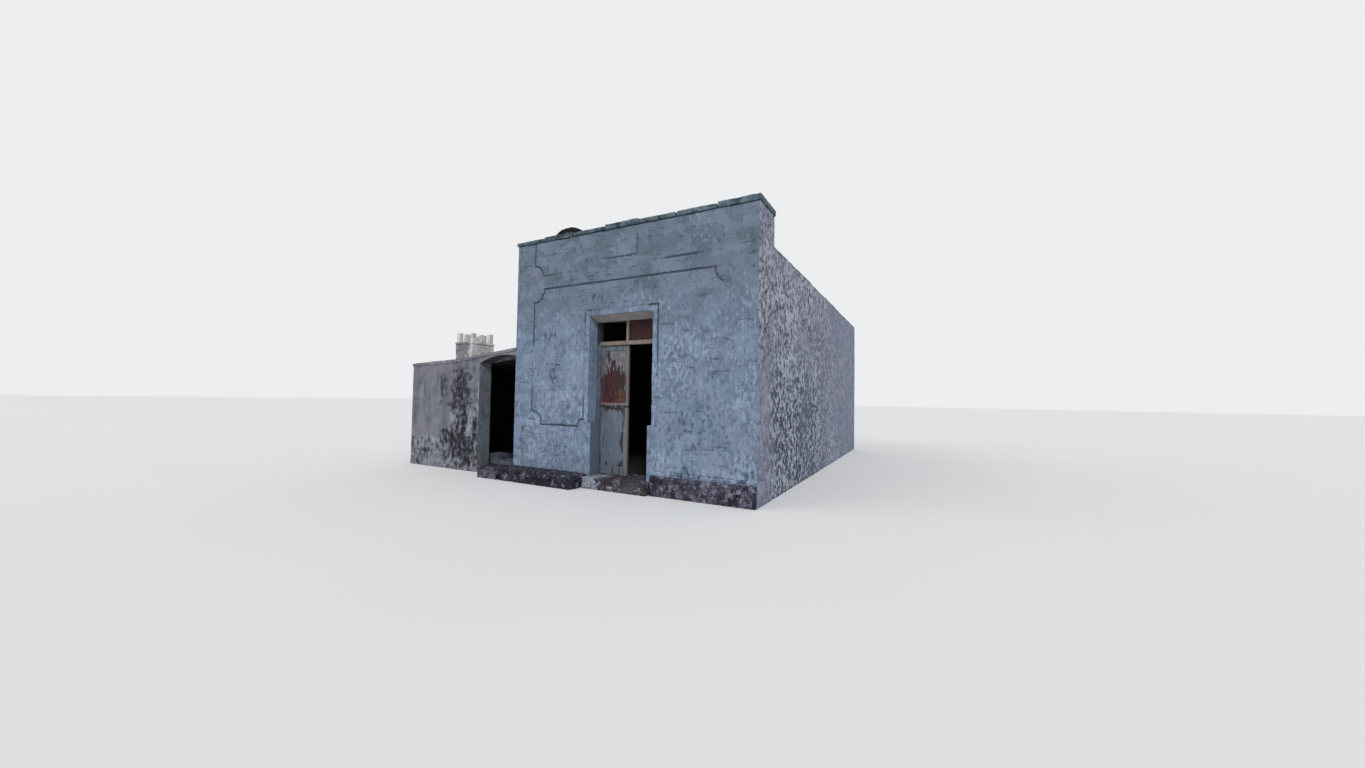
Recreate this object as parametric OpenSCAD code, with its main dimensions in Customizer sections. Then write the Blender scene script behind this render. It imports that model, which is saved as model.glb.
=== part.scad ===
// Vaulted stone field house: a one-room block with a tall front parapet and a lean-to annex.
// The main block's front left corner is the working origin: X runs along the front, Y into depth.
// at_origin() moves everything so that the origin is the middle of the base of the whole house.

/* [Main block] */
// Width of the front
front_w = 4400; // [3900:50:5200]
// Depth from the front face to the back face
side_l = 8650; // [6000:50:10000]
// Thickness of the front wall and its parapet
front_wall_t = 620; // [520:10:700]
// Thickness of the side walls and the back wall
side_wall_t = 600; // [500:10:700]
// Height of the wall from the top of the lintel to the top of the side walls
over_door_h = 565; // [500:5:700]
// Height of the parapet above the side walls, under its coping
parapet_up = 435; // [380:5:700]

/* [Coping] */
// Thickness of the thinnest coping slab
coping_t = 68; // [50:2:100]
// How much the coping slabs differ in thickness
coping_uneven = 24; // [0:2:40]
// How far the coping stands out past the wall
coping_out = 30; // [10:5:60]
// Number of coping slabs in the row
coping_count = 7; // [4:1:10]
// Open joint between two coping slabs
coping_joint = 8; // [4:1:15]
// Width of the round-backed stone on the coping, along the front
dome_w = 560; // [400:10:700]
// Depth of that stone
dome_d = 360; // [250:10:460]
// Height of that stone
dome_h = 110; // [80:5:190]
// Distance of its middle from the left corner
dome_x = 1110; // [600:5:1500]
// Distance of its front from the front face
dome_y = 20; // [0:5:60]

/* [Roof and vault] */
// Height of the rubble between the vault's crown and the roof slabs
crown_fill = 20; // [10:5:80]
// Rise of the vault from its springing to its crown
vault_rise = 1000; // [900:10:1020]
// Thickness of the vault's shell
vault_t = 180; // [150:5:185]
// Width of the ledge in the side walls that carries the vault
vault_bearing = 200; // [150:5:230]
// Thickness of the roof slabs
deck_t = 50; // [30:5:60]
// Height that the walls stand above the roof slabs
kerb_h = 65; // [40:5:80]

/* [Floor] */
// Top of the room's floor and of the threshold
sill_h = 180; // [120:5:200]
// How far the threshold stands out from the front
threshold_out = 120; // [60:5:200]

/* [Doorway] */
// Width of the doorway in the masonry
opening_w = 1175; // [1100:5:1300]
// Height of the doorway's head at the front face
opening_h = 2680; // [2600:5:2900]
// How far the head slopes down from the face to the door frame
soffit_drop = 80; // [70:5:120]
// How far the door frame's head goes up behind the lintel's lower edge
frame_seat = 60; // [40:5:66]
// Distance of the door frame behind the front face
frame_set = 200; // [150:5:260]
// How far each lintel end rests on the wall
lintel_bearing = 150; // [100:10:250]
// Height of the lintel above its bed
lintel_t = 340; // [280:10:400]
// How far a jamb plinth narrows the doorway
plinth_in = 62; // [30:2:80]
// Height of the jamb plinths above the sill
plinth_h = 820; // [600:10:1000]

/* [Plaster fields] */
// Thickness of the plaster on the front
plaster_t = 25; // [15:5:40]
// Width of the grooves between the plaster fields
groove_w = 30; // [12:2:40]
// Distance of the panels from the corners of the front
panel_margin = 420; // [350:10:500]
// Bottom of the lower panel
panel_bottom = 950; // [800:10:1100]
// Height of the lower panel above the plain band over the doorway
panel_over = 405; // [300:5:500]
// Radius of the lower panel's scooped corners
panel_r = 220; // [120:10:260]
// Radius of the lower panel's scooped corners beside the doorway
panel_inner_r = 110; // [60:10:130]
// Width of the plain band round the doorway
surround_w = 105; // [60:5:160]
// Height of the plain band between the lower panel and the frieze panel
band_h = 255; // [200:5:320]
// Radius of the frieze panel's scooped corners
frieze_r = 180; // [100:10:200]
// Width of the plaque
plaque_w = 560; // [300:10:800]
// Height of the plaque
plaque_h = 320; // [200:10:340]
// Distance from the plaque up to the coping
plaque_drop = 120; // [40:10:160]
// How far the plaque stands out from the frieze
plaque_out = 18; // [8:2:30]

/* [Foot of the front] */
// Height of the base course right of the doorway
base_h = 300; // [200:10:400]
// How far the base course stands out from the front
base_out = 60; // [20:5:110]
// Height of the bench left of the doorway
bench_h = 220; // [150:10:400]
// Depth of the bench from the front face
bench_d = 350; // [250:10:500]
// Clear gap between the bench or the base course and the threshold
foot_gap = 12; // [5:1:30]

/* [Door] */
// Visible width of a door frame stile
stile_w = 75; // [60:5:120]
// Depth of the door frame
frame_d = 70; // [50:5:90]
// Thickness of a door leaf
leaf_t = 42; // [35:1:50]
// Height of a door leaf
leaf_h = 2030; // [1900:5:2060]
// Height of the transom bar
transom_t = 60; // [40:2:80]
// Distance of the meeting line from the doorway's middle
meeting_off = 20; // [0:2:40]
// Gap between the two leaves
meeting_gap = 12; // [10:1:16]
// Gap between a leaf and the frame, the transom bar or the sill
leaf_gap = 8; // [6:1:12]
// Width of a leaf's stiles and top rail
leaf_stile_w = 72; // [50:2:90]
// Width of a leaf's bottom rail
leaf_foot_w = 130; // [80:5:180]
// Height of the middle rail's lower edge above the leaf's foot
mid_rail_up = 1057; // [900:5:1200]
// Height of the middle rail
mid_rail_t = 60; // [40:2:100]
// Thickness of a leaf's panels
leaf_panel_t = 16; // [10:1:20]
// Depth of the groove that holds a panel
panel_groove = 12; // [6:1:16]
// Width of the fanlight mullion
mullion_w = 45; // [30:1:60]
// Thickness of the board in the fanlight
fan_board_t = 14; // [10:1:20]
// Angle at which the right leaf stands open
right_leaf_open = 92; // [90:1:95]

/* [Hinges] */
// Radius of a hinge pin
pin_r = 7; // [6:0.5:9]
// Running clearance round a hinge pin
pin_gap = 0.3; // [0.25:0.05:0.4]
// Wall of the eye round a hinge pin
eye_t = 5; // [4:0.5:6]
// Height of a hinge strap and its eye
strap_h = 40; // [30:2:60]
// Length of a hinge strap
strap_l = 330; // [200:10:380]
// Thickness of a hinge strap
strap_t = 5; // [4:0.5:6]
// Height of the lower hinge above the leaf's foot
hinge_low = 250; // [200:10:400]
// Distance of the upper hinge below the leaf's top
hinge_drop = 340; // [200:10:400]

/* [Annex] */
// Width of the annex along the front
annex_w = 2930; // [2500:10:3200]
// Depth of the annex
annex_l = 2900; // [2300:50:3500]
// Thickness of the annex walls
annex_wall_t = 250; // [200:10:300]
// Top of the annex roof at its left edge
annex_low = 2020; // [1950:5:2060]
// Rise of the annex roof from its left edge to its bend
annex_bend_up = 55; // [20:5:100]
// Rise of the annex roof from its bend to the main block
annex_slope_up = 165; // [100:5:200]
// Distance of the roof's bend from the main block
annex_bend_x = 1580; // [1200:20:2000]
// Thickness of the roof's front edge
annex_roof_edge = 50; // [40:5:70]
// Thickness of the roof slab behind the front wall
annex_roof_t = 140; // [100:5:160]
// How far the annex roof stands out past its walls
annex_eave = 15; // [5:1:40]
// Width of the annex doorway
annex_door_w = 930; // [800:10:1000]
// Rise of the annex arch from its springing on the left to its crown
annex_arch_rise = 135; // [80:5:150]
// Thickness of the arch at its crown, up to the roof
annex_arch_t = 30; // [24:2:60]
// Distance of the arch's crown from the main block
annex_crown_x = 300; // [200:10:460]
// Top of the annex floor
annex_floor_h = 110; // [60:5:150]
// Height of the low step in front of the annex doorway
annex_step_h = 140; // [60:5:200]
// Width of the low step in front of the annex doorway
annex_step_w = 500; // [300:10:800]
// Width of a rough step inside the annex doorway
inner_step_w = 350; // [250:10:400]
// Depth of a rough step inside the annex doorway
inner_step_d = 300; // [200:10:400]
// Height of the higher rough step above the annex floor
inner_step_h = 200; // [120:10:250]

/* [Chimney] */
// Width and depth of the chimney shaft
chimney_w = 500; // [400:10:560]
// Distance of the chimney from the front face
chimney_y = 500; // [400:10:900]
// Distance of the chimney's left side from the annex's left side
chimney_x = 620; // [300:10:900]
// Height of the chimney shaft above the annex roof's left edge
chimney_up = 420; // [300:10:600]
// Width of the square flue
flue_w = 240; // [180:10:300]
// Thickness of the slab on the shaft
ledge_t = 50; // [30:5:80]
// How far that slab stands out
ledge_out = 18; // [5:1:40]
// Height of the uprights on the slab
upright_h = 200; // [120:10:260]
// Width of an upright
upright_w = 90; // [60:5:110]

/* [Hidden] */
$fn = 64;

lime = "#aab3bd";
rough_lime = "#9a9a97";
rubble = "#77726b";
deck_stone = "#a8a39a";
timber = "#9b8a76";
old_red = "#6b3327";
iron = "#3c3733";

// Heights of the front, from the doorway up
door_x = front_w / 2;
open_l = door_x - opening_w / 2;
open_r = door_x + opening_w / 2;
soffit_h = opening_h - soffit_drop;
lintel_bed_h = soffit_h + frame_seat;
lintel_top = lintel_bed_h + lintel_t;
side_wall_h = lintel_top + over_door_h;
parapet_h = side_wall_h + parapet_up;
panel_top = opening_h + surround_w + panel_over;
frieze_bottom = panel_top + band_h;
frame_back = frame_set + frame_d;

// Coping slabs of one width whose thickness differs a little, as split stone does
coping_pitch = (front_w + 2 * coping_out + coping_joint) / coping_count;
coping_extra = rands(0, coping_uneven, coping_count, 11);

// Door leaves, whose backs stand just behind the frame's back
leaf_low = sill_h + leaf_gap;
leaf_high = leaf_low + leaf_h;
transom_h = leaf_high + leaf_gap;
mid_rail_h = leaf_low + mid_rail_up;
leaf_back = frame_back + 2;
left_edge = open_l + stile_w + leaf_gap;
right_edge = open_r - stile_w - leaf_gap;
left_leaf_w = door_x + meeting_off - meeting_gap / 2 - left_edge;
right_leaf_w = right_edge - (door_x + meeting_off + meeting_gap / 2);
eye_r = pin_r + pin_gap + eye_t;
pin_y = leaf_back + eye_r;
hinge_heights = [leaf_low + hinge_low, leaf_high - hinge_drop];
leaf_front = -eye_r - leaf_t;
panel_y = -eye_r - (leaf_t + leaf_panel_t) / 2;
plate_t = 6;
plate_h = 60;
arm_h = 16;
arm_half = 5;
arm_gap = 0.3;

// Vault, roof slabs and floor
room_l = side_l - side_wall_t;
half_span = front_w / 2 - side_wall_t;
deck_top = side_wall_h - kerb_h;
fill_top = deck_top - deck_t;
spring_h = fill_top - crown_fill - vault_t - vault_rise;
vault_r = (half_span * half_span + vault_rise * vault_rise) / (2 * vault_rise);
vault_cz = spring_h + vault_rise - vault_r;
recess_x = side_wall_t - vault_bearing;

// Annex
crown_half = annex_door_w - annex_crown_x;
arch_r = (crown_half * crown_half + annex_arch_rise * annex_arch_rise) / (2 * annex_arch_rise);
annex_bend = annex_low + annex_bend_up;
annex_high = annex_bend + annex_slope_up;
over_crown = annex_high - annex_slope_up * annex_crown_x / annex_bend_x;
annex_crown = over_crown - annex_roof_edge - annex_arch_t;
annex_spring = annex_crown - annex_arch_rise;
eave_x = -annex_w - annex_eave;
flue_x = -annex_w + chimney_x + chimney_w / 2;
flue_y = chimney_y + chimney_w / 2;
chimney_h = annex_low + chimney_up;

// The whole house, to put the origin in the middle of its base
x_min = eave_x;
x_max = front_w + coping_out;

module at_origin() {
    translate([-(x_min + x_max) / 2, -(side_l - bench_d) / 2, 0])
        children();
}

// A box from its lowest to its highest corner
module box(low, high) {
    translate(low)
        cube(high - low);
}

// A front view outline, drawn in X and Z, made solid from y0 back to y1
module upright(y0, y1) {
    translate([0, y1, 0])
        rotate([90, 0, 0])
            linear_extrude(y1 - y0)
                children();
}

// A rectangle whose listed corners are scooped out by a circle of radius r
// The circles keep their centres when the rectangle grows, so a groove stays parallel.
module scooped_rect(low, high, r, corners, grow = 0) {
    difference() {
        translate([low.x - grow, low.y - grow])
            square([high.x - low.x + 2 * grow, high.y - low.y + 2 * grow]);
        for (c = corners)
            translate([c.x ? high.x : low.x, c.y ? high.y : low.y])
                circle(r - grow);
    }
}

// The lower panel: an upside-down U round the doorway with its corners scooped out
module lower_panel_2d(grow = 0) {
    all_corners = [[0, 0], [1, 0], [0, 1], [1, 1]];
    inner_l = open_l - surround_w;
    inner_r = open_r + surround_w;
    difference() {
        scooped_rect([panel_margin, panel_bottom], [front_w - panel_margin, panel_top],
            panel_r, all_corners, grow);
        translate([inner_l + grow, 0])
            square([inner_r - inner_l - 2 * grow, opening_h + surround_w - grow]);
        for (x = [inner_l, inner_r])
            translate([x, panel_bottom])
                circle(panel_inner_r - grow);
    }
}

module frieze_panel_2d(grow = 0) {
    intersection() {
        scooped_rect([panel_margin, frieze_bottom], [front_w - panel_margin, parapet_h + frieze_r],
            frieze_r, [[0, 0], [1, 0]], grow);
        square([front_w, parapet_h]);
    }
}

// Walls of the main block
module front_wall_side(x0, x1, notch_x) {
    color(lime)
        difference() {
            box([x0, plaster_t, 0], [x1, front_wall_t, lintel_top]);
            box([notch_x, plaster_t - 1, lintel_bed_h],
                [notch_x + lintel_bearing, front_wall_t + 1, lintel_top + 1]);
        }
}

module front_wall_left() {
    front_wall_side(0, open_l, open_l - lintel_bearing);
}

module front_wall_right() {
    front_wall_side(open_r, front_w, open_r);
}

module front_wall_over_door() {
    color(lime)
        box([0, plaster_t, lintel_top], [front_w, front_wall_t, side_wall_h]);
}

// The soffit slopes down from the face to the frame, then steps up behind it to seat the frame.
module door_lintel() {
    color(rough_lime) {
        translate([open_l, 0, 0])
            rotate([90, 0, 90])
                linear_extrude(opening_w)
                    polygon([
                        [plaster_t, opening_h],
                        [frame_set, soffit_h],
                        [frame_set, lintel_bed_h],
                        [front_wall_t, lintel_bed_h],
                        [front_wall_t, lintel_top],
                        [plaster_t, lintel_top]
                    ]);
        for (x = [open_l - lintel_bearing, open_r])
            box([x, plaster_t, lintel_bed_h], [x + lintel_bearing, front_wall_t, lintel_top]);
    }
}

module parapet_wall() {
    color(lime)
        box([0, plaster_t, side_wall_h], [front_w, front_wall_t, parapet_h]);
}

module parapet_coping() {
    color(rubble)
        for (i = [0 : coping_count - 1])
            translate([-coping_out + i * coping_pitch, -coping_out, parapet_h])
                cube([coping_pitch - coping_joint, front_wall_t + 2 * coping_out,
                    coping_t + coping_extra[i]]);
}

// A low stone with a round back, whose arc follows its width and height
// It lies on the slab under its middle, and where it meets a thicker one it is cut to that.
module coping_dome_stone() {
    dome_r = (dome_w * dome_w / 4 + dome_h * dome_h) / (2 * dome_h);
    slab = floor((dome_x + coping_out) / coping_pitch);
    color(iron)
        difference() {
            translate([dome_x, dome_y, parapet_h + coping_t + coping_extra[slab]])
                upright(0, dome_d)
                    intersection() {
                        translate([0, dome_h - dome_r])
                            circle(dome_r, $fn = 256);
                        translate([-dome_w, 0])
                            square([2 * dome_w, dome_h + 1]);
                    }
            parapet_coping();
        }
}

// Plaster fields of the front
module facade_margin() {
    color(lime)
        upright(0, plaster_t)
            difference() {
                square([front_w, parapet_h]);
                lower_panel_2d(groove_w);
                frieze_panel_2d(groove_w);
                translate([open_l, -1])
                    square([opening_w, opening_h + 1]);
                translate([-1, -1])
                    square([open_l + 2, bench_h + 1]);
                translate([open_r - 1, -1])
                    square([front_w - open_r + 2, base_h + 1]);
            }
}

module lower_panel() {
    color(lime)
        upright(0, plaster_t)
            lower_panel_2d();
}

module frieze_panel() {
    color(lime)
        upright(0, plaster_t)
            frieze_panel_2d();
}

module frieze_plaque() {
    top = parapet_h - plaque_drop;
    color(lime)
        box([door_x - plaque_w / 2, -plaque_out, top - plaque_h], [door_x + plaque_w / 2, 0, top]);
}

// Outline of the left side wall, with the ledge that carries the vault
module side_wall_2d() {
    polygon([
        [0, 0],
        [side_wall_t, 0],
        [side_wall_t, spring_h],
        [recess_x, spring_h],
        [recess_x, side_wall_h],
        [0, side_wall_h]
    ]);
}

module left_side_wall() {
    color(rough_lime)
        upright(front_wall_t, room_l)
            side_wall_2d();
}

module right_side_wall() {
    color(rough_lime)
        translate([front_w, 0, 0])
            mirror([1, 0, 0])
                upright(front_wall_t, room_l)
                    side_wall_2d();
}

module back_wall() {
    color(rough_lime)
        box([0, room_l, 0], [front_w, side_l, side_wall_h]);
}

// Between the upper parts of the side walls, above the vault's springing
module over_vault_2d() {
    translate([recess_x, spring_h])
        square([front_w - 2 * recess_x, fill_top - spring_h]);
}

module vault_circle(r) {
    translate([door_x, vault_cz])
        circle(r, $fn = 256);
}

module barrel_vault() {
    color(rough_lime)
        upright(front_wall_t, room_l)
            intersection() {
                over_vault_2d();
                difference() {
                    vault_circle(vault_r + vault_t);
                    vault_circle(vault_r);
                }
            }
}

module roof_fill() {
    color(rubble)
        upright(front_wall_t, room_l)
            difference() {
                over_vault_2d();
                vault_circle(vault_r + vault_t);
            }
}

module roof_deck() {
    color(deck_stone)
        box([recess_x, front_wall_t, fill_top], [front_w - recess_x, room_l, deck_top]);
}

module room_floor() {
    color(deck_stone)
        box([side_wall_t, front_wall_t, 0], [front_w - side_wall_t, room_l, sill_h]);
}

module door_threshold() {
    color(deck_stone)
        box([open_l, -threshold_out, 0], [open_r, front_wall_t, sill_h]);
}

module jamb_plinth(x0) {
    color(lime)
        box([x0, 0, sill_h], [x0 + plinth_in, frame_set, sill_h + plinth_h]);
}

// Foot of the front
module base_course() {
    color(rubble)
        box([open_r + foot_gap, -base_out, 0], [front_w, plaster_t, base_h]);
}

module stone_bench() {
    color(rubble)
        box([0, -bench_d, 0], [open_l - foot_gap, plaster_t, bench_h]);
}

// Door frame and fanlight
module door_frame() {
    color(timber)
        difference() {
            box([open_l, frame_set, sill_h], [open_r, frame_back, lintel_bed_h]);
            box([open_l + stile_w, frame_set - 1, sill_h - 1],
                [open_r - stile_w, frame_back + 1, soffit_h]);
        }
}

module transom_bar() {
    color(timber)
        box([open_l + stile_w, frame_set, transom_h],
            [open_r - stile_w, frame_back, transom_h + transom_t]);
}

module fanlight_mullion() {
    color(timber)
        box([door_x - mullion_w / 2, frame_set + 10, transom_h + transom_t],
            [door_x + mullion_w / 2, frame_back - 10, soffit_h]);
}

module fanlight_board() {
    y0 = frame_set + frame_d / 2;
    color(old_red)
        box([door_x + mullion_w / 2, y0, transom_h + transom_t],
            [open_r - stile_w, y0 + fan_board_t, soffit_h]);
}

// One hinge's fixed half, drawn from the pin's axis: a plate on the frame's back, a block on it,
// an arm from the block and the pin that stands on the arm
module hinge_pin(z) {
    arm_top = z - arm_gap;
    plate_y = frame_back - pin_y;
    block_x = -leaf_gap - 2 * arm_half;
    box([-leaf_gap - stile_w / 2, plate_y, arm_top - plate_h],
        [-leaf_gap, plate_y + plate_t, arm_top]);
    box([block_x, plate_y, arm_top - arm_h], [-leaf_gap, arm_half, arm_top]);
    box([block_x, -arm_half, arm_top - arm_h], [0, arm_half, arm_top]);
    translate([0, 0, arm_top - arm_h])
        cylinder(r = pin_r, h = arm_h + arm_gap + strap_h);
}

module frame_hinge_pins() {
    color(iron)
        for (z = hinge_heights) {
            translate([left_edge, pin_y, 0])
                hinge_pin(z);
            translate([right_edge, pin_y, 0])
                mirror([1, 0, 0])
                    hinge_pin(z);
        }
}

// A leaf is drawn from its hinge axis: X along the leaf, Y towards the room.
module leaf_panel_shape(w, z0, z1, grow) {
    box([leaf_stile_w - grow, panel_y, z0 - grow],
        [w - leaf_stile_w + grow, panel_y + leaf_panel_t, z1 + grow]);
}

module leaf_panels(w) {
    color(old_red) {
        leaf_panel_shape(w, leaf_low + leaf_foot_w, mid_rail_h, panel_groove);
        leaf_panel_shape(w, mid_rail_h + mid_rail_t, leaf_high - leaf_stile_w, panel_groove);
    }
}

module leaf_frame(w) {
    color(timber)
        difference() {
            box([0, leaf_front, leaf_low], [w, -eye_r, leaf_high]);
            box([leaf_stile_w, leaf_front - 1, leaf_low + leaf_foot_w],
                [w - leaf_stile_w, 1 - eye_r, mid_rail_h]);
            box([leaf_stile_w, leaf_front - 1, mid_rail_h + mid_rail_t],
                [w - leaf_stile_w, 1 - eye_r, leaf_high - leaf_stile_w]);
            leaf_panel_shape(w, leaf_low + leaf_foot_w, mid_rail_h, panel_groove);
            leaf_panel_shape(w, mid_rail_h + mid_rail_t, leaf_high - leaf_stile_w, panel_groove);
        }
}

module leaf_hinges() {
    color(iron)
        for (z = hinge_heights)
            difference() {
                union() {
                    box([0, -eye_r, z], [strap_l, strap_t - eye_r, z + strap_h]);
                    translate([0, 0, z])
                        cylinder(r = eye_r, h = strap_h);
                }
                translate([0, 0, z - 1])
                    cylinder(r = pin_r + pin_gap, h = strap_h + 2);
            }
}

module at_left_hinge() {
    translate([left_edge, pin_y, 0])
        children();
}

module at_right_hinge() {
    translate([right_edge, pin_y, 0])
        rotate([0, 0, -right_leaf_open])
            mirror([1, 0, 0])
                children();
}

// Annex
// The annex roof's top from its eave to the main block, lowered by drop
function roof_line(drop) =
    [[eave_x, annex_low - drop], [-annex_bend_x, annex_bend - drop], [0, annex_high - drop]];

// What lies under a roof of the given thickness from x0 to x1 and above z0
module under_roof_2d(x0, x1, z0, roof_t) {
    intersection() {
        polygon(concat([[0, 0], [eave_x, 0]], roof_line(roof_t)));
        translate([x0, z0])
            square([x1 - x0, annex_high]);
    }
}

module annex_front_wall() {
    color(rough_lime)
        upright(0, annex_wall_t)
            under_roof_2d(-annex_w, -annex_door_w, 0, annex_roof_edge);
}

module annex_arch() {
    color(rough_lime)
        upright(0, annex_wall_t)
            difference() {
                under_roof_2d(-annex_door_w, 0, annex_spring, annex_roof_edge);
                translate([-annex_crown_x, annex_crown - arch_r])
                    circle(arch_r, $fn = 256);
            }
}

module annex_left_wall() {
    color(rough_lime)
        upright(annex_wall_t, annex_l - annex_wall_t)
            under_roof_2d(-annex_w, -annex_w + annex_wall_t, 0, annex_roof_t);
}

module annex_back_wall() {
    color(rough_lime)
        upright(annex_l - annex_wall_t, annex_l)
            under_roof_2d(-annex_w, 0, 0, annex_roof_t);
}

// A roof of one thickness, so its underside keeps the bend of its top
module roof_strip_2d(thickness) {
    underside = roof_line(thickness);
    polygon(concat(roof_line(0), [underside[2], underside[1], underside[0]]));
}

module annex_roof() {
    color(deck_stone)
        difference() {
            union() {
                upright(-annex_eave, annex_wall_t)
                    roof_strip_2d(annex_roof_edge);
                upright(annex_wall_t, annex_l)
                    roof_strip_2d(annex_roof_t);
            }
            flue_hole(0, chimney_h);
        }
}

module annex_floor() {
    color(deck_stone) {
        box([-annex_w + annex_wall_t, annex_wall_t, 0],
            [0, annex_l - annex_wall_t, annex_floor_h]);
        box([-annex_door_w, 0, 0], [0, annex_wall_t, annex_floor_h]);
    }
}

// Two rough steps on the floor just inside the annex doorway, the left one higher
module annex_inner_steps() {
    y0 = annex_wall_t + 50;
    x0 = -annex_door_w - inner_step_w / 2;
    color(rubble) {
        box([x0, y0, annex_floor_h],
            [x0 + inner_step_w, y0 + inner_step_d, annex_floor_h + inner_step_h]);
        box([x0 + inner_step_w, y0, annex_floor_h],
            [x0 + 2 * inner_step_w, y0 + inner_step_d, annex_floor_h + inner_step_h / 2]);
    }
}

module annex_step() {
    color(rubble)
        box([-annex_step_w, -bench_d, 0], [-1, 0, annex_step_h]);
}

// Chimney
module flue_hole(z0, z1) {
    box([flue_x - flue_w / 2, flue_y - flue_w / 2, z0], [flue_x + flue_w / 2, flue_y + flue_w / 2, z1]);
}

// The shaft stands on the sloping roof, so its foot is cut to the roof's top.
module chimney_shaft() {
    x0 = flue_x - chimney_w / 2;
    color(lime)
        difference() {
            upright(chimney_y, chimney_y + chimney_w)
                difference() {
                    translate([x0, 0])
                        square([chimney_w, chimney_h]);
                    under_roof_2d(-annex_w, 0, 0, 0);
                }
            flue_hole(0, chimney_h + 1);
        }
}

module chimney_ledge() {
    half = chimney_w / 2 + ledge_out;
    color(lime)
        difference() {
            box([flue_x - half, flue_y - half, chimney_h],
                [flue_x + half, flue_y + half, chimney_h + ledge_t]);
            flue_hole(chimney_h - 1, chimney_h + ledge_t + 1);
        }
}

// Eight uprights round the flue, one at each corner and one in the middle of each side
module chimney_uprights() {
    reach = (chimney_w - upright_w) / 2;
    color(lime)
        for (i = [-1 : 1], j = [-1 : 1])
            if (i != 0 || j != 0)
                translate([flue_x + i * reach - upright_w / 2, flue_y + j * reach - upright_w / 2,
                    chimney_h + ledge_t])
                    cube([upright_w, upright_w, upright_h]);
}

at_origin() front_wall_left();
at_origin() front_wall_right();
at_origin() front_wall_over_door();
at_origin() door_lintel();
at_origin() parapet_wall();
at_origin() parapet_coping();
at_origin() coping_dome_stone();
at_origin() facade_margin();
at_origin() lower_panel();
at_origin() frieze_panel();
at_origin() frieze_plaque();
at_origin() right_side_wall();
at_origin() left_side_wall();
at_origin() back_wall();
at_origin() barrel_vault();
at_origin() roof_fill();
at_origin() roof_deck();
at_origin() room_floor();
at_origin() door_threshold();
at_origin() jamb_plinth(open_l);  // jamb_plinth_left
at_origin() jamb_plinth(open_r - plinth_in);  // jamb_plinth_right
at_origin() base_course();
at_origin() stone_bench();
at_origin() door_frame();
at_origin() transom_bar();
at_origin() fanlight_mullion();
at_origin() fanlight_board();
at_origin() frame_hinge_pins();
at_origin() at_left_hinge() leaf_frame(left_leaf_w);  // left_leaf_frame
at_origin() at_left_hinge() leaf_panels(left_leaf_w);  // left_leaf_panels
at_origin() at_left_hinge() leaf_hinges();  // left_leaf_hinges
at_origin() at_right_hinge() leaf_frame(right_leaf_w);  // right_leaf_frame
at_origin() at_right_hinge() leaf_panels(right_leaf_w);  // right_leaf_panels
at_origin() at_right_hinge() leaf_hinges();  // right_leaf_hinges
at_origin() annex_front_wall();
at_origin() annex_arch();
at_origin() annex_left_wall();
at_origin() annex_back_wall();
at_origin() annex_roof();
at_origin() annex_floor();
at_origin() annex_inner_steps();
at_origin() annex_step();
at_origin() chimney_shaft();
at_origin() chimney_ledge();
at_origin() chimney_uprights();
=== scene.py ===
import math

import bpy
import numpy as np
from mathutils import Matrix, Vector
from mathutils.geometry import delaunay_2d_cdt


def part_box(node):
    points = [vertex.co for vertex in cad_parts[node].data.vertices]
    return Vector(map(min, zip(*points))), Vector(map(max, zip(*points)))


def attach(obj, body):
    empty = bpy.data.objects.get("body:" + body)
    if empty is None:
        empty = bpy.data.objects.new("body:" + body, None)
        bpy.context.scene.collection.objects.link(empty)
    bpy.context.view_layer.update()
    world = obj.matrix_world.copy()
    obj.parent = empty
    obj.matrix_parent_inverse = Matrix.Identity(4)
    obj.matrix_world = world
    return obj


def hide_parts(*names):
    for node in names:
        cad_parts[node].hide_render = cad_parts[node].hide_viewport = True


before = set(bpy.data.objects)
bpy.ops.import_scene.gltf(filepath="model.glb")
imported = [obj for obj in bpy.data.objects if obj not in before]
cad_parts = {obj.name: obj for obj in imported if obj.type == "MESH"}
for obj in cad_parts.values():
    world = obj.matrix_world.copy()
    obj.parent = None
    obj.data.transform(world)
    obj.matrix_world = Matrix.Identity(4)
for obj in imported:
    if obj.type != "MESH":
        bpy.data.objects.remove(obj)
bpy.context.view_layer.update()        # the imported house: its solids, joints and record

# Places on the house, in metres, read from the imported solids.
front_low, front_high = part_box("facade_margin")
LEFT, RIGHT = front_low.x, front_high.x
FRONT = front_low.y
CORE = front_high.y
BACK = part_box("back_wall")[1].y
WALL_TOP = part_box("right_side_wall")[1].z
PARAPET_TOP = front_high.z
PARAPET_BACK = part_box("parapet_wall")[1].y
ANNEX_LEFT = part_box("annex_left_wall")[0].x
ANNEX_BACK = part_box("annex_back_wall")[1].y
ANNEX_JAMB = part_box("annex_front_wall")[1].x
ANNEX_WALL_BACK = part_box("annex_front_wall")[1].y
ANNEX_WALL = 0.25       # how thick the annex's walls are
DOOR_LEFT, DOOR_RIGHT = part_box("door_threshold")[0].x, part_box("door_threshold")[1].x
FRAME_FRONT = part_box("door_frame")[0].y
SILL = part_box("door_threshold")[1].z
BENCH_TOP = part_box("stone_bench")[1].z
BASE_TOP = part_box("base_course")[1].z
# The height of the doorway's front edge, and the width of a groove.
OPENING_TOP, GROOVE = 2.68, 0.030
roof_low, roof_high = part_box("annex_roof")
EAVE_T, ROOF_T = 0.050, 0.140       # the annex roof's thickness, along its front edge and behind it
# It rises in two slopes, by EAVE_RISE up to the bend.
BEND_X, BEND_Z, EAVE_RISE = LEFT - 1.58, roof_high.z - 0.165, 0.055
ROOF_SLOPES = (EAVE_RISE / (BEND_X - roof_low.x), (roof_high.z - BEND_Z) / (LEFT - BEND_X))


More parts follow.
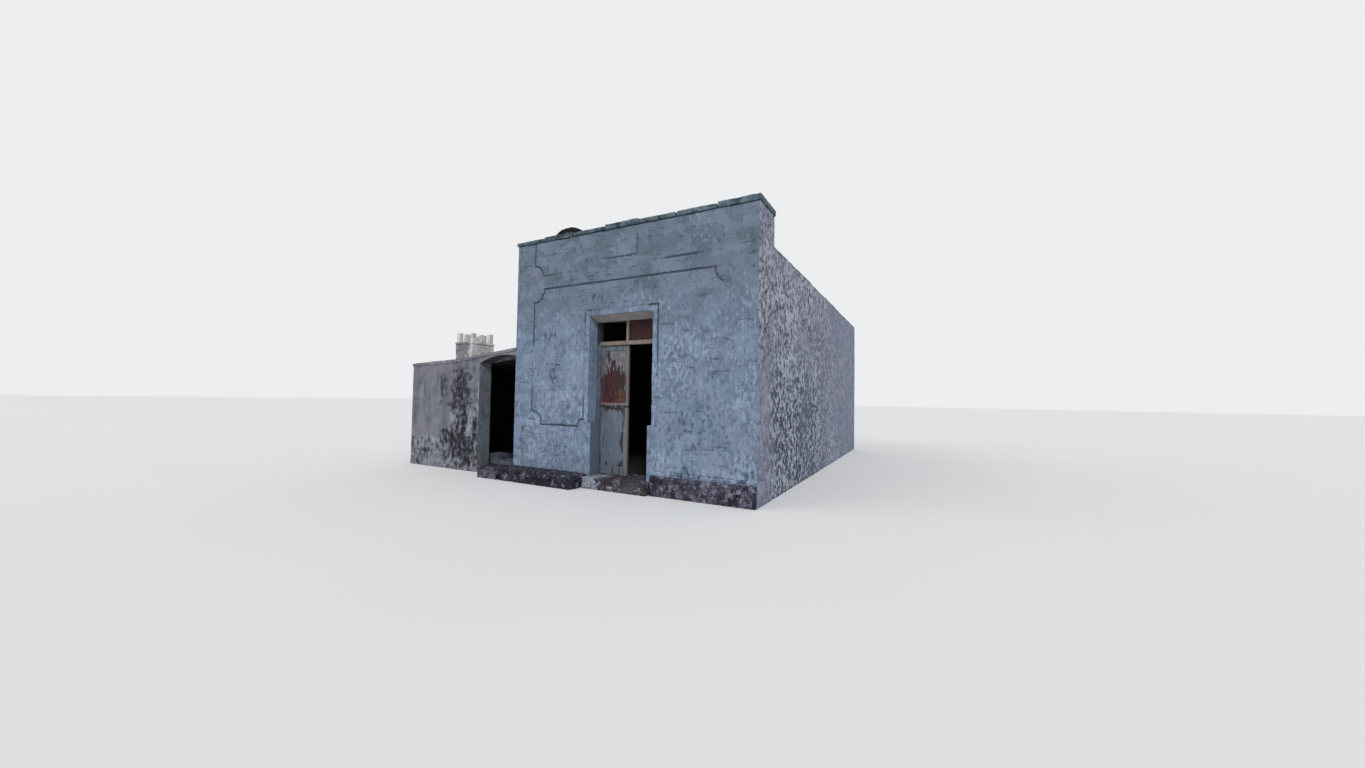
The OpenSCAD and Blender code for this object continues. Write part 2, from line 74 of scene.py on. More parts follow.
# ---- Colours and nodes
def srgb(code):
    """A linear colour from an sRGB hex value."""
    parts = [int(code[i:i + 2], 16) / 255 for i in (1, 3, 5)]
    return tuple(c / 12.92 if c <= 0.04045 else ((c + 0.055) / 1.055) ** 2.4 for c in parts) + (1.0,)


# Short names of nodes: the type, its settings, its inputs in order and the output that is used. The
# scale of a noise is 1000 over the size of its features in millimetres.
NODES = {
    "step": ("ShaderNodeMapRange", {"interpolation_type": "SMOOTHSTEP"},
             ("Value", "From Min", "From Max", "To Min", "To Max"), 0),
    "mix": ("ShaderNodeMix", {"data_type": "RGBA"}, (0, 6, 7), 2),
    "noise": ("ShaderNodeTexNoise", {}, ("Vector", "Scale", "Detail", "Roughness", "Distortion"), 0),
    "scaled": ("ShaderNodeMapping", {}, ("Vector", "Scale"), 0),
    "moved": ("GeometryNodeSetPosition", {}, ("Geometry", "Offset"), 0),
    "vector": ("ShaderNodeCombineXYZ", {}, (0, 1, 2), 0),
    "scale": ("ShaderNodeVectorMath", {"operation": "SCALE"}, (0, "Scale"), 0),
    "unit": ("ShaderNodeVectorMath", {"operation": "NORMALIZE"}, (0,), 0),
    "xyz": ("ShaderNodeSeparateXYZ", {}, (0,), None)}
for sign, operation in {"+": "ADD", "-": "SUBTRACT", "*": "MULTIPLY", "/": "DIVIDE", "*+": "MULTIPLY_ADD",
                        "min": "MINIMUM", "max": "MAXIMUM", "abs": "ABSOLUTE"}.items():
    NODES[sign] = ("ShaderNodeMath", {"operation": operation}, (0, 1, 2), 0)
    NODES["v" + sign] = ("ShaderNodeVectorMath", {"operation": operation}, (0, 1, 2), 0)


def add(tree, kind, *values, **settings):
    """Adds a node with its settings and links. A value is a number, a hex colour, another node's
    output, or a tuple that stands for a node: its short name and its own values."""
    kind, fixed, inputs, output = NODES.get(kind, (kind, {}, (), None))
    given = values[0] if values and isinstance(values[0], dict) else dict(zip(inputs, values))
    given = {key: add(tree, *value) if isinstance(value, tuple) and isinstance(value[0], str) else value
             for key, value in given.items()}
    node = tree.nodes.new(kind)
    for key, value in {**fixed, **settings}.items():
        setattr(node, key, value)
    for key, value in given.items():
        if isinstance(value, bpy.types.NodeSocket):
            tree.links.new(value, node.inputs[key])
        else:
            node.inputs[key].default_value = srgb(value) if str(value).startswith("#") else value
    return node.outputs if output is None else node.outputs[output]


def new_material(name, roughness, specular=0.3):
    material = bpy.data.materials.new(name)
    material.use_nodes = True
    tree = material.node_tree
    shader = tree.nodes["Principled BSDF"]
    shader.inputs["Roughness"].default_value = roughness
    shader.inputs["Specular IOR Level"].default_value = specular
    return material, tree, add(tree, "ShaderNodeTexCoord")["Object"]


def finish(material, colour, height, distance):
    """Gives the material its colour and a relief of that many metres."""
    tree = material.node_tree
    shader = tree.nodes["Principled BSDF"]
    bump = add(tree, "ShaderNodeBump", {"Height": height, "Strength": 1.0, "Distance": distance})
    tree.links.new(colour, shader.inputs["Base Color"])
    tree.links.new(bump[0], shader.inputs["Normal"])
    return material


def lime_coat(name, lime, grey, bare, stain, cast, fresh, speckle=0.5, stroke_mm=36, stretch=0.5,
              contrast=1.1, soft=0.16, body=0.6, dashes=0.0, inside=None, second=None, layers=0.0, calm=1.0):
    """Old limewash on soft limestone: chalky and matt, in clouds of pale and grey with short upright
    strokes, flaked to the darker stone, specked with black lichen, bright where fresh lime is left.
    soft is how gently the coats fade into each other, body how strong the bright lime is, dashes how
    many short level cracks there are, inside the painted shade that it takes beyond a depth (in
    recesses, reveals and undersides), second a tint that comes in soft clouds, layers how clearly the
    edges of old coats show, and calm the share of the strokes that is left where the wall is smooth."""
    material, tree, where = new_material(name, 0.93, 0.2)
    wear, mould, tint, rough = (add(tree, "ShaderNodeAttribute", attribute_name=key)["Fac"]
                                for key in ("wear", "stain", "cast", "rough"))
    tall = add(tree, "scaled", where, (1.0, 1.0, stretch))
    cloud = add(tree, "noise", where, 1000 / 240, 8.0, 0.66)
    stroke = add(tree, "noise", tall, 1000 / stroke_mm, 5.0, 0.62)
    grain = add(tree, "noise", where, 1000 / 11, 3.0, 0.6)
    ragged = add(tree, "+", ("*", ("-", stroke, 0.5), contrast), ("*", ("-", grain, 0.5), 0.45))
    lively = add(tree, "+", ("step", rough, 0.3, 0.7, calm, 1.0), ("step", rough, 0.75, 1.0, 0.0, 0.6))
    ragged = add(tree, "*", ragged, lively)
    eroded = add(tree, "+", wear, ragged)
    worn = add(tree, "step", eroded, 0.44 - soft / 2, 0.44 + soft / 2)
    bright = add(tree, "step", ("-", ("*", rough, 0.6), eroded), 0.19 - soft / 2, 0.19 + soft / 2, 0.0, body)
    spots = add(tree, "step", ("+", mould, ragged), 0.47 - soft / 2, 0.47 + soft / 2)
    # Pits, in cells of about 53 mm
    cells = add(tree, "ShaderNodeTexVoronoi", {"Vector": where, "Scale": 19.0}, feature="F1")["Distance"]
    pits = add(tree, "*", ("step", cells, 0.1, 0.24, 1.0, 0.0), ("step", stroke, 0.5, 0.62))
    clouded = add(tree, "+", cloud, ("*", ragged, 0.55))
    colour = add(tree, "mix", ("step", clouded, 0.34, 0.66), lime, grey)
    colour = add(tree, "mix", ("*", tint, 0.85), colour, cast)
    if second:
        colour = add(tree, "mix", ("step", ("noise", where, 1000 / 420, 4.0, 0.6), 0.42, 0.62, 0.0, 0.48),
                     colour, second)
    coats = add(tree, "noise", ("scaled", where, (0.75, 0.75, 1.0)), 1000 / 230, 5.0, 0.58, 0.5)
    colour = add(tree, "mix", ("step", coats, 0.495, 0.515, 0.0, 0.35 * layers), colour, fresh)
    for share, over in ((bright, fresh), (("*", worn, 0.85), bare), (("*", spots, 0.8), stain),
                        (("*", pits, speckle), stain)):
        colour = add(tree, "mix", share, colour, over)
    if layers:
        edge = add(tree, "step", ("abs", ("-", coats, 0.495)), 0.002, 0.012, layers, 0.0)
        edge = add(tree, "*", edge, ("step", stroke, 0.44, 0.58))
        colour = add(tree, "mix", edge, colour, bare)
        pits = add(tree, "+", pits, edge)
    if dashes:
        level = add(tree, "scaled", where, (0.16, 0.16, 1.0))
        cracks = add(tree, "step", ("noise", level, 1000 / 34, 2.0, 0.5), 0.63, 0.69, 0.0, dashes)
        colour = add(tree, "mix", ("*", cracks, ("step", cloud, 0.42, 0.56)), colour, stain)
        pits = add(tree, "+", pits, cracks)
    # Painted shade: faces that lie deeper than the given depth behind the front take the darker inside
    # colour.
    if inside:
        deep = FRONT + inside[1]
        deep = add(tree, "step", add(tree, "xyz", where)[1], deep - 0.012, deep + 0.012)
        colour = add(tree, "mix", ("*", deep, inside[2]), colour, inside[0])
    height = add(tree, "-", ("+", grain, ("*", stroke, 1.4)), ("+", ("*", worn, 0.9), pits))
    return finish(material, colour, height, 0.006)


def rough_stone(name, pale, mid, dark, lichen, grain_mm=30, limed=0.0, fading=None):
    """Weathered limestone: pitted, matt, grey with black and ochre lichen. limed is the share that
    still carries patches of pale lime; fading names an axis and the two places between which it goes."""
    material, tree, where = new_material(name, 0.92, 0.2)
    hollow = add(tree, "ShaderNodeAttribute", attribute_name="hollow")["Fac"]
    broad = add(tree, "noise", where, 1000 / 260, 4.0, 0.6)
    fine = add(tree, "noise", where, 1000 / grain_mm, 5.0, 0.65)
    spots = add(tree, "step", ("noise", where, 1000 / 75, 4.0, 0.7), 0.52, 0.66)
    colour = add(tree, "mix", ("step", broad, 0.34, 0.66), mid, dark if limed else pale)
    if limed:
        patch = add(tree, "+", ("noise", where, 1000 / 95, 6.0, 0.7), limed - 0.5)
        if fading:
            axis, full, none = fading
            place = add(tree, "xyz", where)[axis]
            patch = add(tree, "+", patch, ("step", place, full, none, 0.0, -0.35))
        colour = add(tree, "mix", ("step", patch, 0.47, 0.56), colour, pale)
    for share, over in ((("step", fine, 0.46, 0.66, 0.0, 0.8), dark), (("*", spots, 0.45), lichen),
                        (("*", hollow, 0.8), dark)):
        colour = add(tree, "mix", share, colour, over)
    return finish(material, colour, ("-", fine, hollow), 0.01)


def blackened_stone():
    """The stone on the coping, black with old growth."""
    material, tree, where = new_material("blackened_limestone", 0.9, 0.2)
    fine = add(tree, "noise", where, 1000 / 40, 5.0, 0.65)
    colour = add(tree, "mix", ("step", fine, 0.4, 0.65), "#08090c", "#1a1c20")
    return finish(material, colour, fine, 0.008)


def old_timber(name, paint, under, bare, flaked, dirt="#2b2320", shade_heights=None):
    """Painted deal left to the weather: vertical grain and cracks, paint in flakes over an
    older coat, grey wood at the edges. flaked is the share of paint that has come off; shade_heights gives
    the two heights between which the paint turns black, a painted shadow of the lintel."""
    material, tree, where = new_material(name, 0.72, 0.35)
    stretched = add(tree, "scaled", where, (1.0, 1.0, 0.09))
    fibres = add(tree, "noise", stretched, 1000 / 7, 4.0, 0.6)
    cracks = add(tree, "step", ("noise", stretched, 1000 / 16, 5.0, 0.7), 0.6, 0.66)
    tall = add(tree, "scaled", where, (1.0, 1.0, 0.45))
    patch = add(tree, "noise", tall, 1000 / 170, 5.0, 0.62, 0.6)
    peeled = add(tree, "step", ("+", patch, ("*", fibres, 0.12)), 0.6 - 0.34 * flaked, 0.63 - 0.34 * flaked)
    gone = add(tree, "step", ("noise", tall, 1000 / 60, 4.0, 0.6), 0.6, 0.64)
    below = add(tree, "mix", gone, under, bare)
    below = add(tree, "mix", ("step", fibres, 0.35, 0.7, 0.0, 0.5), below, dirt)
    faded = ("step", ("noise", tall, 1000 / 90, 3.0, 0.55), 0.3, 0.75, 0.0, 0.35)
    coat = add(tree, "mix", faded, paint, bare)
    colour = add(tree, "mix", peeled, coat, below)
    colour = add(tree, "mix", ("*", cracks, 0.8), colour, dirt)
    # Painted shadow: above these heights the paint turns black, standing for the lintel's shade.
    if shade_heights:
        high = add(tree, "step", add(tree, "xyz", where)[2], shade_heights[0], shade_heights[1], 0.0, 0.85)
        colour = add(tree, "mix", high, colour, "#15161a")
    height = add(tree, "-", ("*", fibres, 0.5), ("+", ("*", peeled, 0.6), cracks))
    return finish(material, colour, height, 0.0015)


def leaf_panel_paint(name, across, border, middle):
    """Door panels: above, grey-white paint has come off in upright tongues over an old crimson
    coat, brown towards the meeting stile; below the middle rail the blue-grey paint still holds, with
    dark scars along its edges. across is the axis that the leaf's width follows at rest."""
    material, tree, where = new_material(name, 0.72, 0.35)
    stretched = add(tree, "scaled", where, (1.0, 1.0, 0.1))
    tall = add(tree, "scaled", where, (1.0, 1.0, 0.3))
    place = add(tree, "xyz", where)
    height = place[2]
    fibres = add(tree, "noise", stretched, 1000 / 7, 4.0, 0.6)
    tongues = add(tree, "noise", tall, 1000 / 62, 4.0, 0.6, 0.4)
    flakes = add(tree, "noise", tall, 1000 / 26, 4.0, 0.65)
    ragged = add(tree, "*", ("-", tongues, 0.5), 0.5)
    upper = add(tree, "step", height, border - 0.01, border + 0.01)
    # The red coat shows more and more towards the foot of the upper panel.
    down = add(tree, "step", height, border + 0.7, border + 0.34)
    red = add(tree, "step", ("+", ("+", tongues, ("*", down, 0.3)), ("*", flakes, 0.2)), 0.66, 0.7)
    inner = add(tree, "step", ("+", place[across], ragged), middle - 0.03, middle + 0.03)
    foot = add(tree, "step", ("+", height, ragged), border + 0.34, border + 0.18)
    crimson = add(tree, "mix", ("step", tongues, 0.38, 0.62), "#551d24", "#32141a")
    brown = add(tree, "mix", foot, "#2e1d1d", "#56382a")
    rust = add(tree, "mix", inner, crimson, brown)
    rust = add(tree, "mix", ("step", flakes, 0.5, 0.57), rust, "#22131a")
    above = add(tree, "mix", red, ("mix", ("step", flakes, 0.4, 0.62), "#7d7c82", "#5c5a60"), rust)
    edge = add(tree, "step", height, border - 0.03, border - 0.16, 0.3, 0.0)
    right = add(tree, "*", ("step", place[across], middle + 0.07, middle + 0.17, 0.0, 0.27),
                ("step", height, 1.15, 0.85, 0.7, 1.0))
    foot_scar = add(tree, "step", height, 0.44, 0.33, 0.0, 0.13)
    scars = add(tree, "step", ("+", ("+", tongues, edge), ("+", foot_scar, right)), 0.66, 0.7)
    paint = add(tree, "mix", ("step", tongues, 0.35, 0.65), "#66707e", "#566070")
    below = add(tree, "mix", scars, paint, ("mix", flakes, "#261d21", "#3e3539"))
    colour = add(tree, "mix", upper, below, above)
    colour = add(tree, "mix", ("step", fibres, 0.42, 0.72, 0.0, 0.4), colour, "#2b2424")
    relief = add(tree, "-", ("*", fibres, 0.5), ("*", ("+", ("*", red, upper), scars), 0.6))
    return finish(material, colour, relief, 0.0015)


def leaf_frame_paint(name, across, meeting, rail):
    """Stiles and rails of a leaf: blue-grey paint, worn to beige wood along the meeting edge and on
    top of the middle rail, where hands and weather reach it, and flaked to crimson above that rail."""
    material, tree, where = new_material(name, 0.72, 0.35)
    stretched = add(tree, "scaled", where, (1.0, 1.0, 0.12))
    place = add(tree, "xyz", where)
    fibres = add(tree, "noise", stretched, 1000 / 7, 4.0, 0.6)
    patch = add(tree, "noise", stretched, 1000 / 34, 5.0, 0.65)
    paint = add(tree, "mix", ("step", patch, 0.36, 0.62), "#6a7482", "#555d69")
    paint = add(tree, "mix", ("step", patch, 0.56, 0.62), paint, "#3f3b40")
    hem = add(tree, "+", place[across], ("*", patch, 0.02))
    hem = add(tree, "step", hem, meeting - 0.034, meeting - 0.012)
    height = place[2]
    top = add(tree, "*", ("step", height, rail - 0.024, rail - 0.016),
              ("step", height, rail + 0.012, rail + 0.004))
    band = add(tree, "*", ("step", height, rail + 0.01, rail + 0.03),
               ("step", ("+", height, ("*", patch, -0.5)), rail + 0.32, rail + 0.12))
    paint = add(tree, "mix", ("*", band, ("step", patch, 0.4, 0.46, 0.0, 0.9)), paint,
                ("mix", ("step", fibres, 0.38, 0.62), "#28131a", "#4b1c22"))
    under = add(tree, "*", ("step", height, rail - 0.075, rail - 0.055),
                ("step", height, rail - 0.022, rail - 0.032))
    for share, over in ((("*", ("max", hem, top), 0.9), "#7a706c"),
                        (("*", under, ("step", patch, 0.38, 0.5)), "#2a2326"),
                        (("step", fibres, 0.42, 0.72, 0.0, 0.5), "#2f2a2c")):
        paint = add(tree, "mix", share, paint, over)
    return finish(material, paint, ("+", fibres, patch), 0.0015)


def rusted_iron():
    """Wrought iron strap: brown-black scale with orange rust in soft patches."""
    material, tree, where = new_material("wrought_iron", 0.75, 0.4)
    patch = add(tree, "noise", where, 1000 / 22, 5.0, 0.65)
    colour = add(tree, "mix", ("step", patch, 0.42, 0.62), "#2e2724", "#6b3d24")
    return finish(material, colour, patch, 0.0008)


def annex_roof_lime():
    """Lime and dust on top and along the edges of the annex roof, and painted shade, nearly black, on its
    underside.
    """
    material, tree, where = new_material("lime_annex_roof", 0.93, 0.2)
    place = add(tree, "xyz", where)
    cloud = add(tree, "noise", where, 1000 / 180, 5.0, 0.62)
    grain = add(tree, "noise", where, 1000 / 24, 4.0, 0.6)
    slopes = [("*+", place[0], slope, BEND_Z - slope * BEND_X) for slope in ROOF_SLOPES]
    below = add(tree, "-", ("max", *slopes), place[2])
    colour = add(tree, "mix", ("step", cloud, 0.36, 0.64), "#77767c", "#55565d")
    colour = add(tree, "mix", ("step", grain, 0.5, 0.64, 0.0, 0.7), colour, "#2f3037")
    # Painted shade: the underside, deeper than the roof's thickness below its top, turns near black.
    colour = add(tree, "mix", ("step", below, ROOF_T - 0.008, ROOF_T - 0.002), colour, "#2e2c2c")
    return finish(material, colour, grain, 0.006)


# Limes by what they cover: colours (lime, grey, bare, stain, cast, fresh), then how they lie.
SHADED = ("#6d7888", "#5b6470", "#474d57", "#31363e", "#6a665f", "#8a97aa")
LIMES = {name: lime_coat("lime_" + name, *colours, **how) for name, colours, how in (
    ("facade", ("#788ba3", "#637387", "#4b5564", "#353d49", "#586672", "#94a5bb"), dict(
        speckle=0.55, stroke_mm=44, contrast=1.15, soft=0.20, body=0.7, dashes=0.55,
        # Painted shade on faces 18 mm or more behind the front, such as the sides of the jamb plinths.
        inside=("#55616c", 0.018, 0.8), second="#757c91", layers=0.42)),
    ("rough_wall", ("#7f879e", "#677083", "#434a59", "#262a33", "#82838a", "#aaafbe"), dict(
        speckle=0.7, stroke_mm=56, stretch=0.80, contrast=1.95, soft=0.20, body=0.8, dashes=0.6,
        second="#7e7d8c", layers=0.3, calm=0.55)),
    ("wall_head", ("#6c7177", "#4a4f57", "#2b2e34", "#191b20", "#5d5a55", "#85888f"), dict(speckle=0.7)),
    ("annex_wall", ("#7f8189", "#686a73", "#33343d", "#18181f", "#55565f", "#9a9ca8"), dict(
        stroke_mm=85, stretch=0.75, contrast=1.7, soft=0.20, body=0.65, dashes=0.2,
        second="#75757f", layers=0.3, calm=0.35)),
    ("annex_arch", ("#8f8b8c", "#77747a", "#4a494f", "#2a2a31", "#676469", "#a5a2a4"), dict(
        # Painted shade, nearly black, on the arch's underside behind its front face.
        speckle=0.6, inside=("#343133", 0.018, 0.8))),
    # Its cast colour is the grey of painted shade on the chimney's front and left faces.
    ("chimney", ("#d6d2d1", "#b4b3b6", "#75737a", "#45454c", "#5b5e68", "#ebe4df"), dict(speckle=0.3)),
    # Painted light: the pale warm grey stands for warm bounce light from the ground on the lintel's
    # underside.
    ("soffit", ("#9a9895", "#8b8885", "#66625e", "#403d3b", "#7c7976", "#b9b5ae"), dict(speckle=0.3)),
    # Painted shade: the dark lime of the room and of the annex's inside, seen only as darkness through the
    # openings.
    ("painted_shade_room", ("#3c3a3a", "#2e2c2c", "#201f1f", "#151414", "#302c29", "#4b4846"), dict(speckle=0.3)),
    ("left_reveal", ("#7c8ea8", "#68788c", "#535e6d", "#3a4350", "#5f6b79", "#8d9db4"), dict(speckle=0.4)),
    # Painted shade: the reveals and the inner faces of the front walls go near black beyond the door frame,
    # for the dark room.
    ("reveal", SHADED, dict(speckle=0.4, inside=("#151011", FRAME_FRONT - FRONT + 0.03, 1.0))),
    ("annex_jamb", SHADED, dict(speckle=0.4)))}
COPING_STONE = rough_stone("coping_limestone", "#677985", "#4a5964", "#232b34", "#515e58", 60)
DOME_STONE = blackened_stone()
BENCH_STONE = rough_stone("bench_rubble", "#737584", "#3b3d4a", "#1b1b24", "#43434e", 26, 0.44)
BASE_STONE = rough_stone("base_rubble", "#7c7e8f", "#515060", "#25242f", "#504a57", 26, 0.49)
SILL_STONE = rough_stone("sill_limestone", "#9095a4", "#524e56", "#2c292f", "#5a5150", 35, 0.78,
                         (0, DOOR_LEFT + 0.1, DOOR_LEFT + 0.4))
STEP_STONE = rough_stone("step_limestone", "#6b707b", "#4d5059", "#2a2b32", "#4c4b50", 35)
PAVING_STONE = rough_stone("paving_limestone", "#8f8f90", "#727275", "#45454a", "#66635a", 45)
# Painted shadow of the lintel: the frame turns black above 2.2 m.
FRAME_TIMBER = old_timber("timber_frame", "#586776", "#5a5e66", "#6f7073", 0.30, shade_heights=(2.20, 2.30))
TRANSOM_TIMBER = old_timber("timber_transom", "#8f8580", "#857a73", "#6f645e", 0.55)
# A leaf's own frame: x along the leaf from its hinge axis, y towards the room when it is shut. At rest
# the left leaf's width follows the x axis (0) and that of the right leaf, which stands open, y (1).
LEAVES = {"left_leaf": {"axis_x": 0.953, "wide": 0.5185, "turn": 0.0, "hand": 1},
          "right_leaf": {"axis_x": 1.962, "wide": 0.4785, "turn": -92.0, "hand": -1}}
LEAF_STILE, LEAF_LOW, LEAF_HIGH, FOOT_RAIL, MID_RAIL = 0.072, 0.188, 2.218, 0.130, (1.245, 1.305)
PANEL_FACES = (-0.0413, -0.0253)
LAP, PAINT_BORDER = 0.0255, 1.275       # of the meeting stiles, and where the paint changes
MEETING = {"left_leaf": (0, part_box("left_leaf_frame")[1].x),
           "right_leaf": (1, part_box("right_leaf_frame")[1].y)}
LEAF_TIMBER = {leaf: leaf_frame_paint("timber_" + leaf, *MEETING[leaf], MID_RAIL[1]) for leaf in LEAVES}
RED_BOARD = old_timber("timber_red_board", "#280b0f", "#351015", "#4e272b", 0.10, "#100607")
LEAF_PANELS = {leaf: leaf_panel_paint("timber_%s_panels" % leaf, axis, PAINT_BORDER,
                                      edge - LEAVES[leaf]["wide"] / 2 + LAP / 2)
               for leaf, (axis, edge) in MEETING.items()}
IRON = rusted_iron()
ANNEX_ROOF = annex_roof_lime()


# ---- Noise for shapes, in metres
def hashed(i, j, k, seed):
    """A number from 0 to 1 for each whole-number cell."""
    h = (i.astype(np.int64) * 73856093) ^ (j.astype(np.int64) * 19349663) ^ (k.astype(np.int64) * 83492791)
    h = (h ^ (seed * 2654435761)) & 0xFFFFFFFF
    h = ((h ^ (h >> 16)) * 73244475) & 0xFFFFFFFF
    h = ((h ^ (h >> 16)) * 73244475) & 0xFFFFFFFF
    return (h ^ (h >> 16)) / 4294967296.0


def noise(points, size, seed, octaves=1):
    """Smooth noise from -1 to 1 with features of that size."""
    total, gain, weight = np.zeros(len(points)), 1.0, 0.0
    for octave in range(octaves):
        q = points / size * 2 ** octave + 31.7 * (seed + octave)
        cell = np.floor(q).astype(np.int64)
        f = q - cell
        f = f * f * (3 - 2 * f)
        value = np.zeros(len(points))
        for dx in (0, 1):
            for dy in (0, 1):
                for dz in (0, 1):
                    share = (np.abs(1 - dx - f[:, 0]) * np.abs(1 - dy - f[:, 1]) * np.abs(1 - dz - f[:, 2]))
                    value += share * hashed(cell[:, 0] + dx, cell[:, 1] + dy, cell[:, 2] + dz, seed)
        total += gain * (2 * value - 1)
        weight += gain
        gain *= 0.5
    return total / weight


def on_wall(u, v):
    """Points for the noise of an upright face."""
    return np.column_stack([u, u * 0, v])


def smooth(value, low, high):
    t = np.clip((value - low) / (high - low), 0, 1)
    return t * t * (3 - 2 * t)


def stones(u, v, width, height, seed):
    """Distance to the edge of coursed stones, in metres, and a number for each stone."""
    row = np.floor(v / height)
    shift = hashed(row, row * 0, row * 0, seed)
    length = width * (0.75 + 0.5 * hashed(row, row * 0 + 1, row * 0, seed))
    across = u / length + 7.3 * shift
    column = np.floor(across)
    left = hashed(column, row, row * 0, seed + 1) * 0.3
    right = 1 + hashed(column + 1, row, row * 0, seed + 1) * 0.3
    f = across - column
    column = np.where(f < left, column - 1, column)
    near = np.abs(f - left)
    near = np.minimum(near, np.abs(f - right)) * length
    up = np.abs(v / height - np.round(v / height)) * height
    return np.minimum(near, up), hashed(column, row, row * 0, seed + 2)


# ---- Meshes
def new_object(name, data):
    made = bpy.data.objects.new(name, data)
    bpy.context.scene.collection.objects.link(made)
    return made


def place_piece(name, mesh, body, nodes=()):
    """Puts a mesh on its body and the solids that it stands for."""
    piece = new_object(name, mesh)
    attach(piece, body)
    if nodes:
        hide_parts(*nodes)
    return piece


def make_piece(name, points, polygons, material, fields=None, body="house", slot="lime_plaster", nodes=(),
               sharp=40):
    mesh = bpy.data.meshes.new(name)
    mesh.from_pydata(np.asarray(points, float).tolist(), [], polygons)
    for key, values in (fields or {}).items():
        mesh.attributes.new(key, "FLOAT", "POINT").data.foreach_set("value", values.astype(np.float32))
    mesh.shade_smooth()
    mesh.set_sharp_from_angle(angle=math.radians(sharp))
    mesh.materials.append(material)
    mesh.validate()
    return place_piece(name, mesh, body, nodes)


def lines(breaks, step):
    """Grid lines that pass through every break, and where the breaks lie among them."""
    values, marks = [breaks[0]], [0]
    for low, high in zip(breaks, breaks[1:]):
        count = max(1, round((high - low) / step))
        values += list(low + (high - low) * (np.arange(count) + 1) / count)
        marks.append(len(values) - 1)
    return np.array(values), marks


COAT_BACK = 0.004       # how deep a coat reaches into its wall
# The u and v directions of a wall's face, and the way out.
UP = (0, 0, 1)
SIDES = {"front": ((1, 0, 0), UP, (0, -1, 0)), "right": ((0, 1, 0), UP, (1, 0, 0)),
         "back": ((-1, 0, 0), UP, (0, 1, 0)), "left": ((0, -1, 0), UP, (-1, 0, 0))}


def coat(name, corner, side, u_breaks, v_breaks, step, relief, material, is_open=None, warp=None, **how):
    """A closed coat of lime over a flat face that starts at a corner and runs as its side says;
    relief(points, u, v) gives the height and the fields of the finish."""
    corner, along, up, out = (np.array(v, float) for v in (corner, *SIDES.get(side, side)))
    us, u_marks = lines(u_breaks, step)
    vs, v_marks = lines(v_breaks, step)
    u, v = np.meshgrid(us, vs)
    u, v = u.ravel(), v.ravel()
    if warp:
        u, v = warp(u, v)
    flat = corner + u[:, None] * along + v[:, None] * up
    height, fields = relief(flat, u, v)
    points = list(flat + height[:, None] * out)
    wide = len(us)
    behind = {}

    def back(i, j):
        if (i, j) not in behind:
            behind[i, j] = len(points)
            points.append(flat[j * wide + i] - COAT_BACK * out)
        return behind[i, j]

    columns, rows = len(u_marks) - 1, len(v_marks) - 1
    kept = np.ones((columns + 2, rows + 2), bool)
    kept[0], kept[-1], kept[:, 0], kept[:, -1] = False, False, False, False
    for c in range(columns):
        for r in range(rows):
            middle = ((u_breaks[c] + u_breaks[c + 1]) / 2, (v_breaks[r] + v_breaks[r + 1]) / 2)
            if is_open and is_open(*middle):
                kept[c + 1, r + 1] = False
    polygons = []
    for c in range(columns):
        i0, i1 = u_marks[c], u_marks[c + 1]
        for r in range(rows):
            if not kept[c + 1, r + 1]:
                continue
            j0, j1 = v_marks[r], v_marks[r + 1]
            for j in range(j0, j1):
                a = j * wide
                polygons += [(a + i, a + i + 1, a + wide + i + 1, a + wide + i) for i in range(i0, i1)]
                low_run = list(range(i0, i1 + 1)) if j == j0 and not kept[c + 1, r] else [i0, i1]
                high_run = list(range(i0, i1 + 1)) if j == j1 - 1 and not kept[c + 1, r + 2] else [i0, i1]
                polygons.append([back(i, j + 1) for i in high_run] + [back(i, j) for i in reversed(low_run)])
                if not kept[c, r + 1]:
                    polygons.append((a + i0, a + wide + i0, back(i0, j + 1), back(i0, j)))
                if not kept[c + 2, r + 1]:
                    polygons.append((a + wide + i1, a + i1, back(i1, j), back(i1, j + 1)))
            if not kept[c + 1, r]:
                a = j0 * wide
                polygons += [(a + i + 1, a + i, back(i, j0), back(i + 1, j0)) for i in range(i0, i1)]
            if not kept[c + 1, r + 2]:
                a = j1 * wide
                polygons += [(a + i, a + i + 1, back(i + 1, j1), back(i, j1)) for i in range(i0, i1)]
    if np.dot(np.cross(along, up), out) < 0:
        polygons = [tuple(reversed(p)) for p in polygons]
    spare = len(points) - len(flat)
    fields = {key: np.concatenate([values, np.zeros(spare)]) for key, values in fields.items()}
    used = np.zeros(len(points), bool)
    used[np.concatenate([np.array(p) for p in polygons])] = True
    index = np.cumsum(used) - 1
    polygons = [tuple(int(index[n]) for n in p) for p in polygons]
    points = np.array(points)[used]
    fields = {key: values[used] for key, values in fields.items()}
    return make_piece(name, points, polygons, material, fields, **how)


# ---- The front: plaster fields with worn grooves between them. Its u starts at the left corner.
DOOR = (DOOR_LEFT - LEFT, DOOR_RIGHT - LEFT)
plaque_low, plaque_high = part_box("frieze_plaque")
PLAQUE = (plaque_low.x - LEFT, plaque_high.x - LEFT, plaque_low.z, plaque_high.z)
# The lower panel's sides, foot and head, and the radii of the scooped corners: its outer ones, those
# beside the doorway and those of the frieze.
PANEL = (0.42, 3.98, 0.95, 3.19)
PANEL_R, INNER_R, FRIEZE_R = 0.22, 0.11, 0.18
DOOR_BAND = 0.105       # the margin runs round the doorway this wide
INNER = (DOOR[0] - DOOR_BAND, DOOR[1] + DOOR_BAND, OPENING_TOP + DOOR_BAND)
FRIEZE_LOW = 3.445
UNDERLAP = 0.02       # how far the plaster runs down behind the bench and the base course
WIDTH = RIGHT - LEFT
FINE = 0.006       # spacing of the points along an edge or a crack


def rect_distance(u, z, u0, u1, z0, z1):
    return np.maximum(np.maximum(u0 - u, u - u1), np.maximum(z0 - z, z - z1))


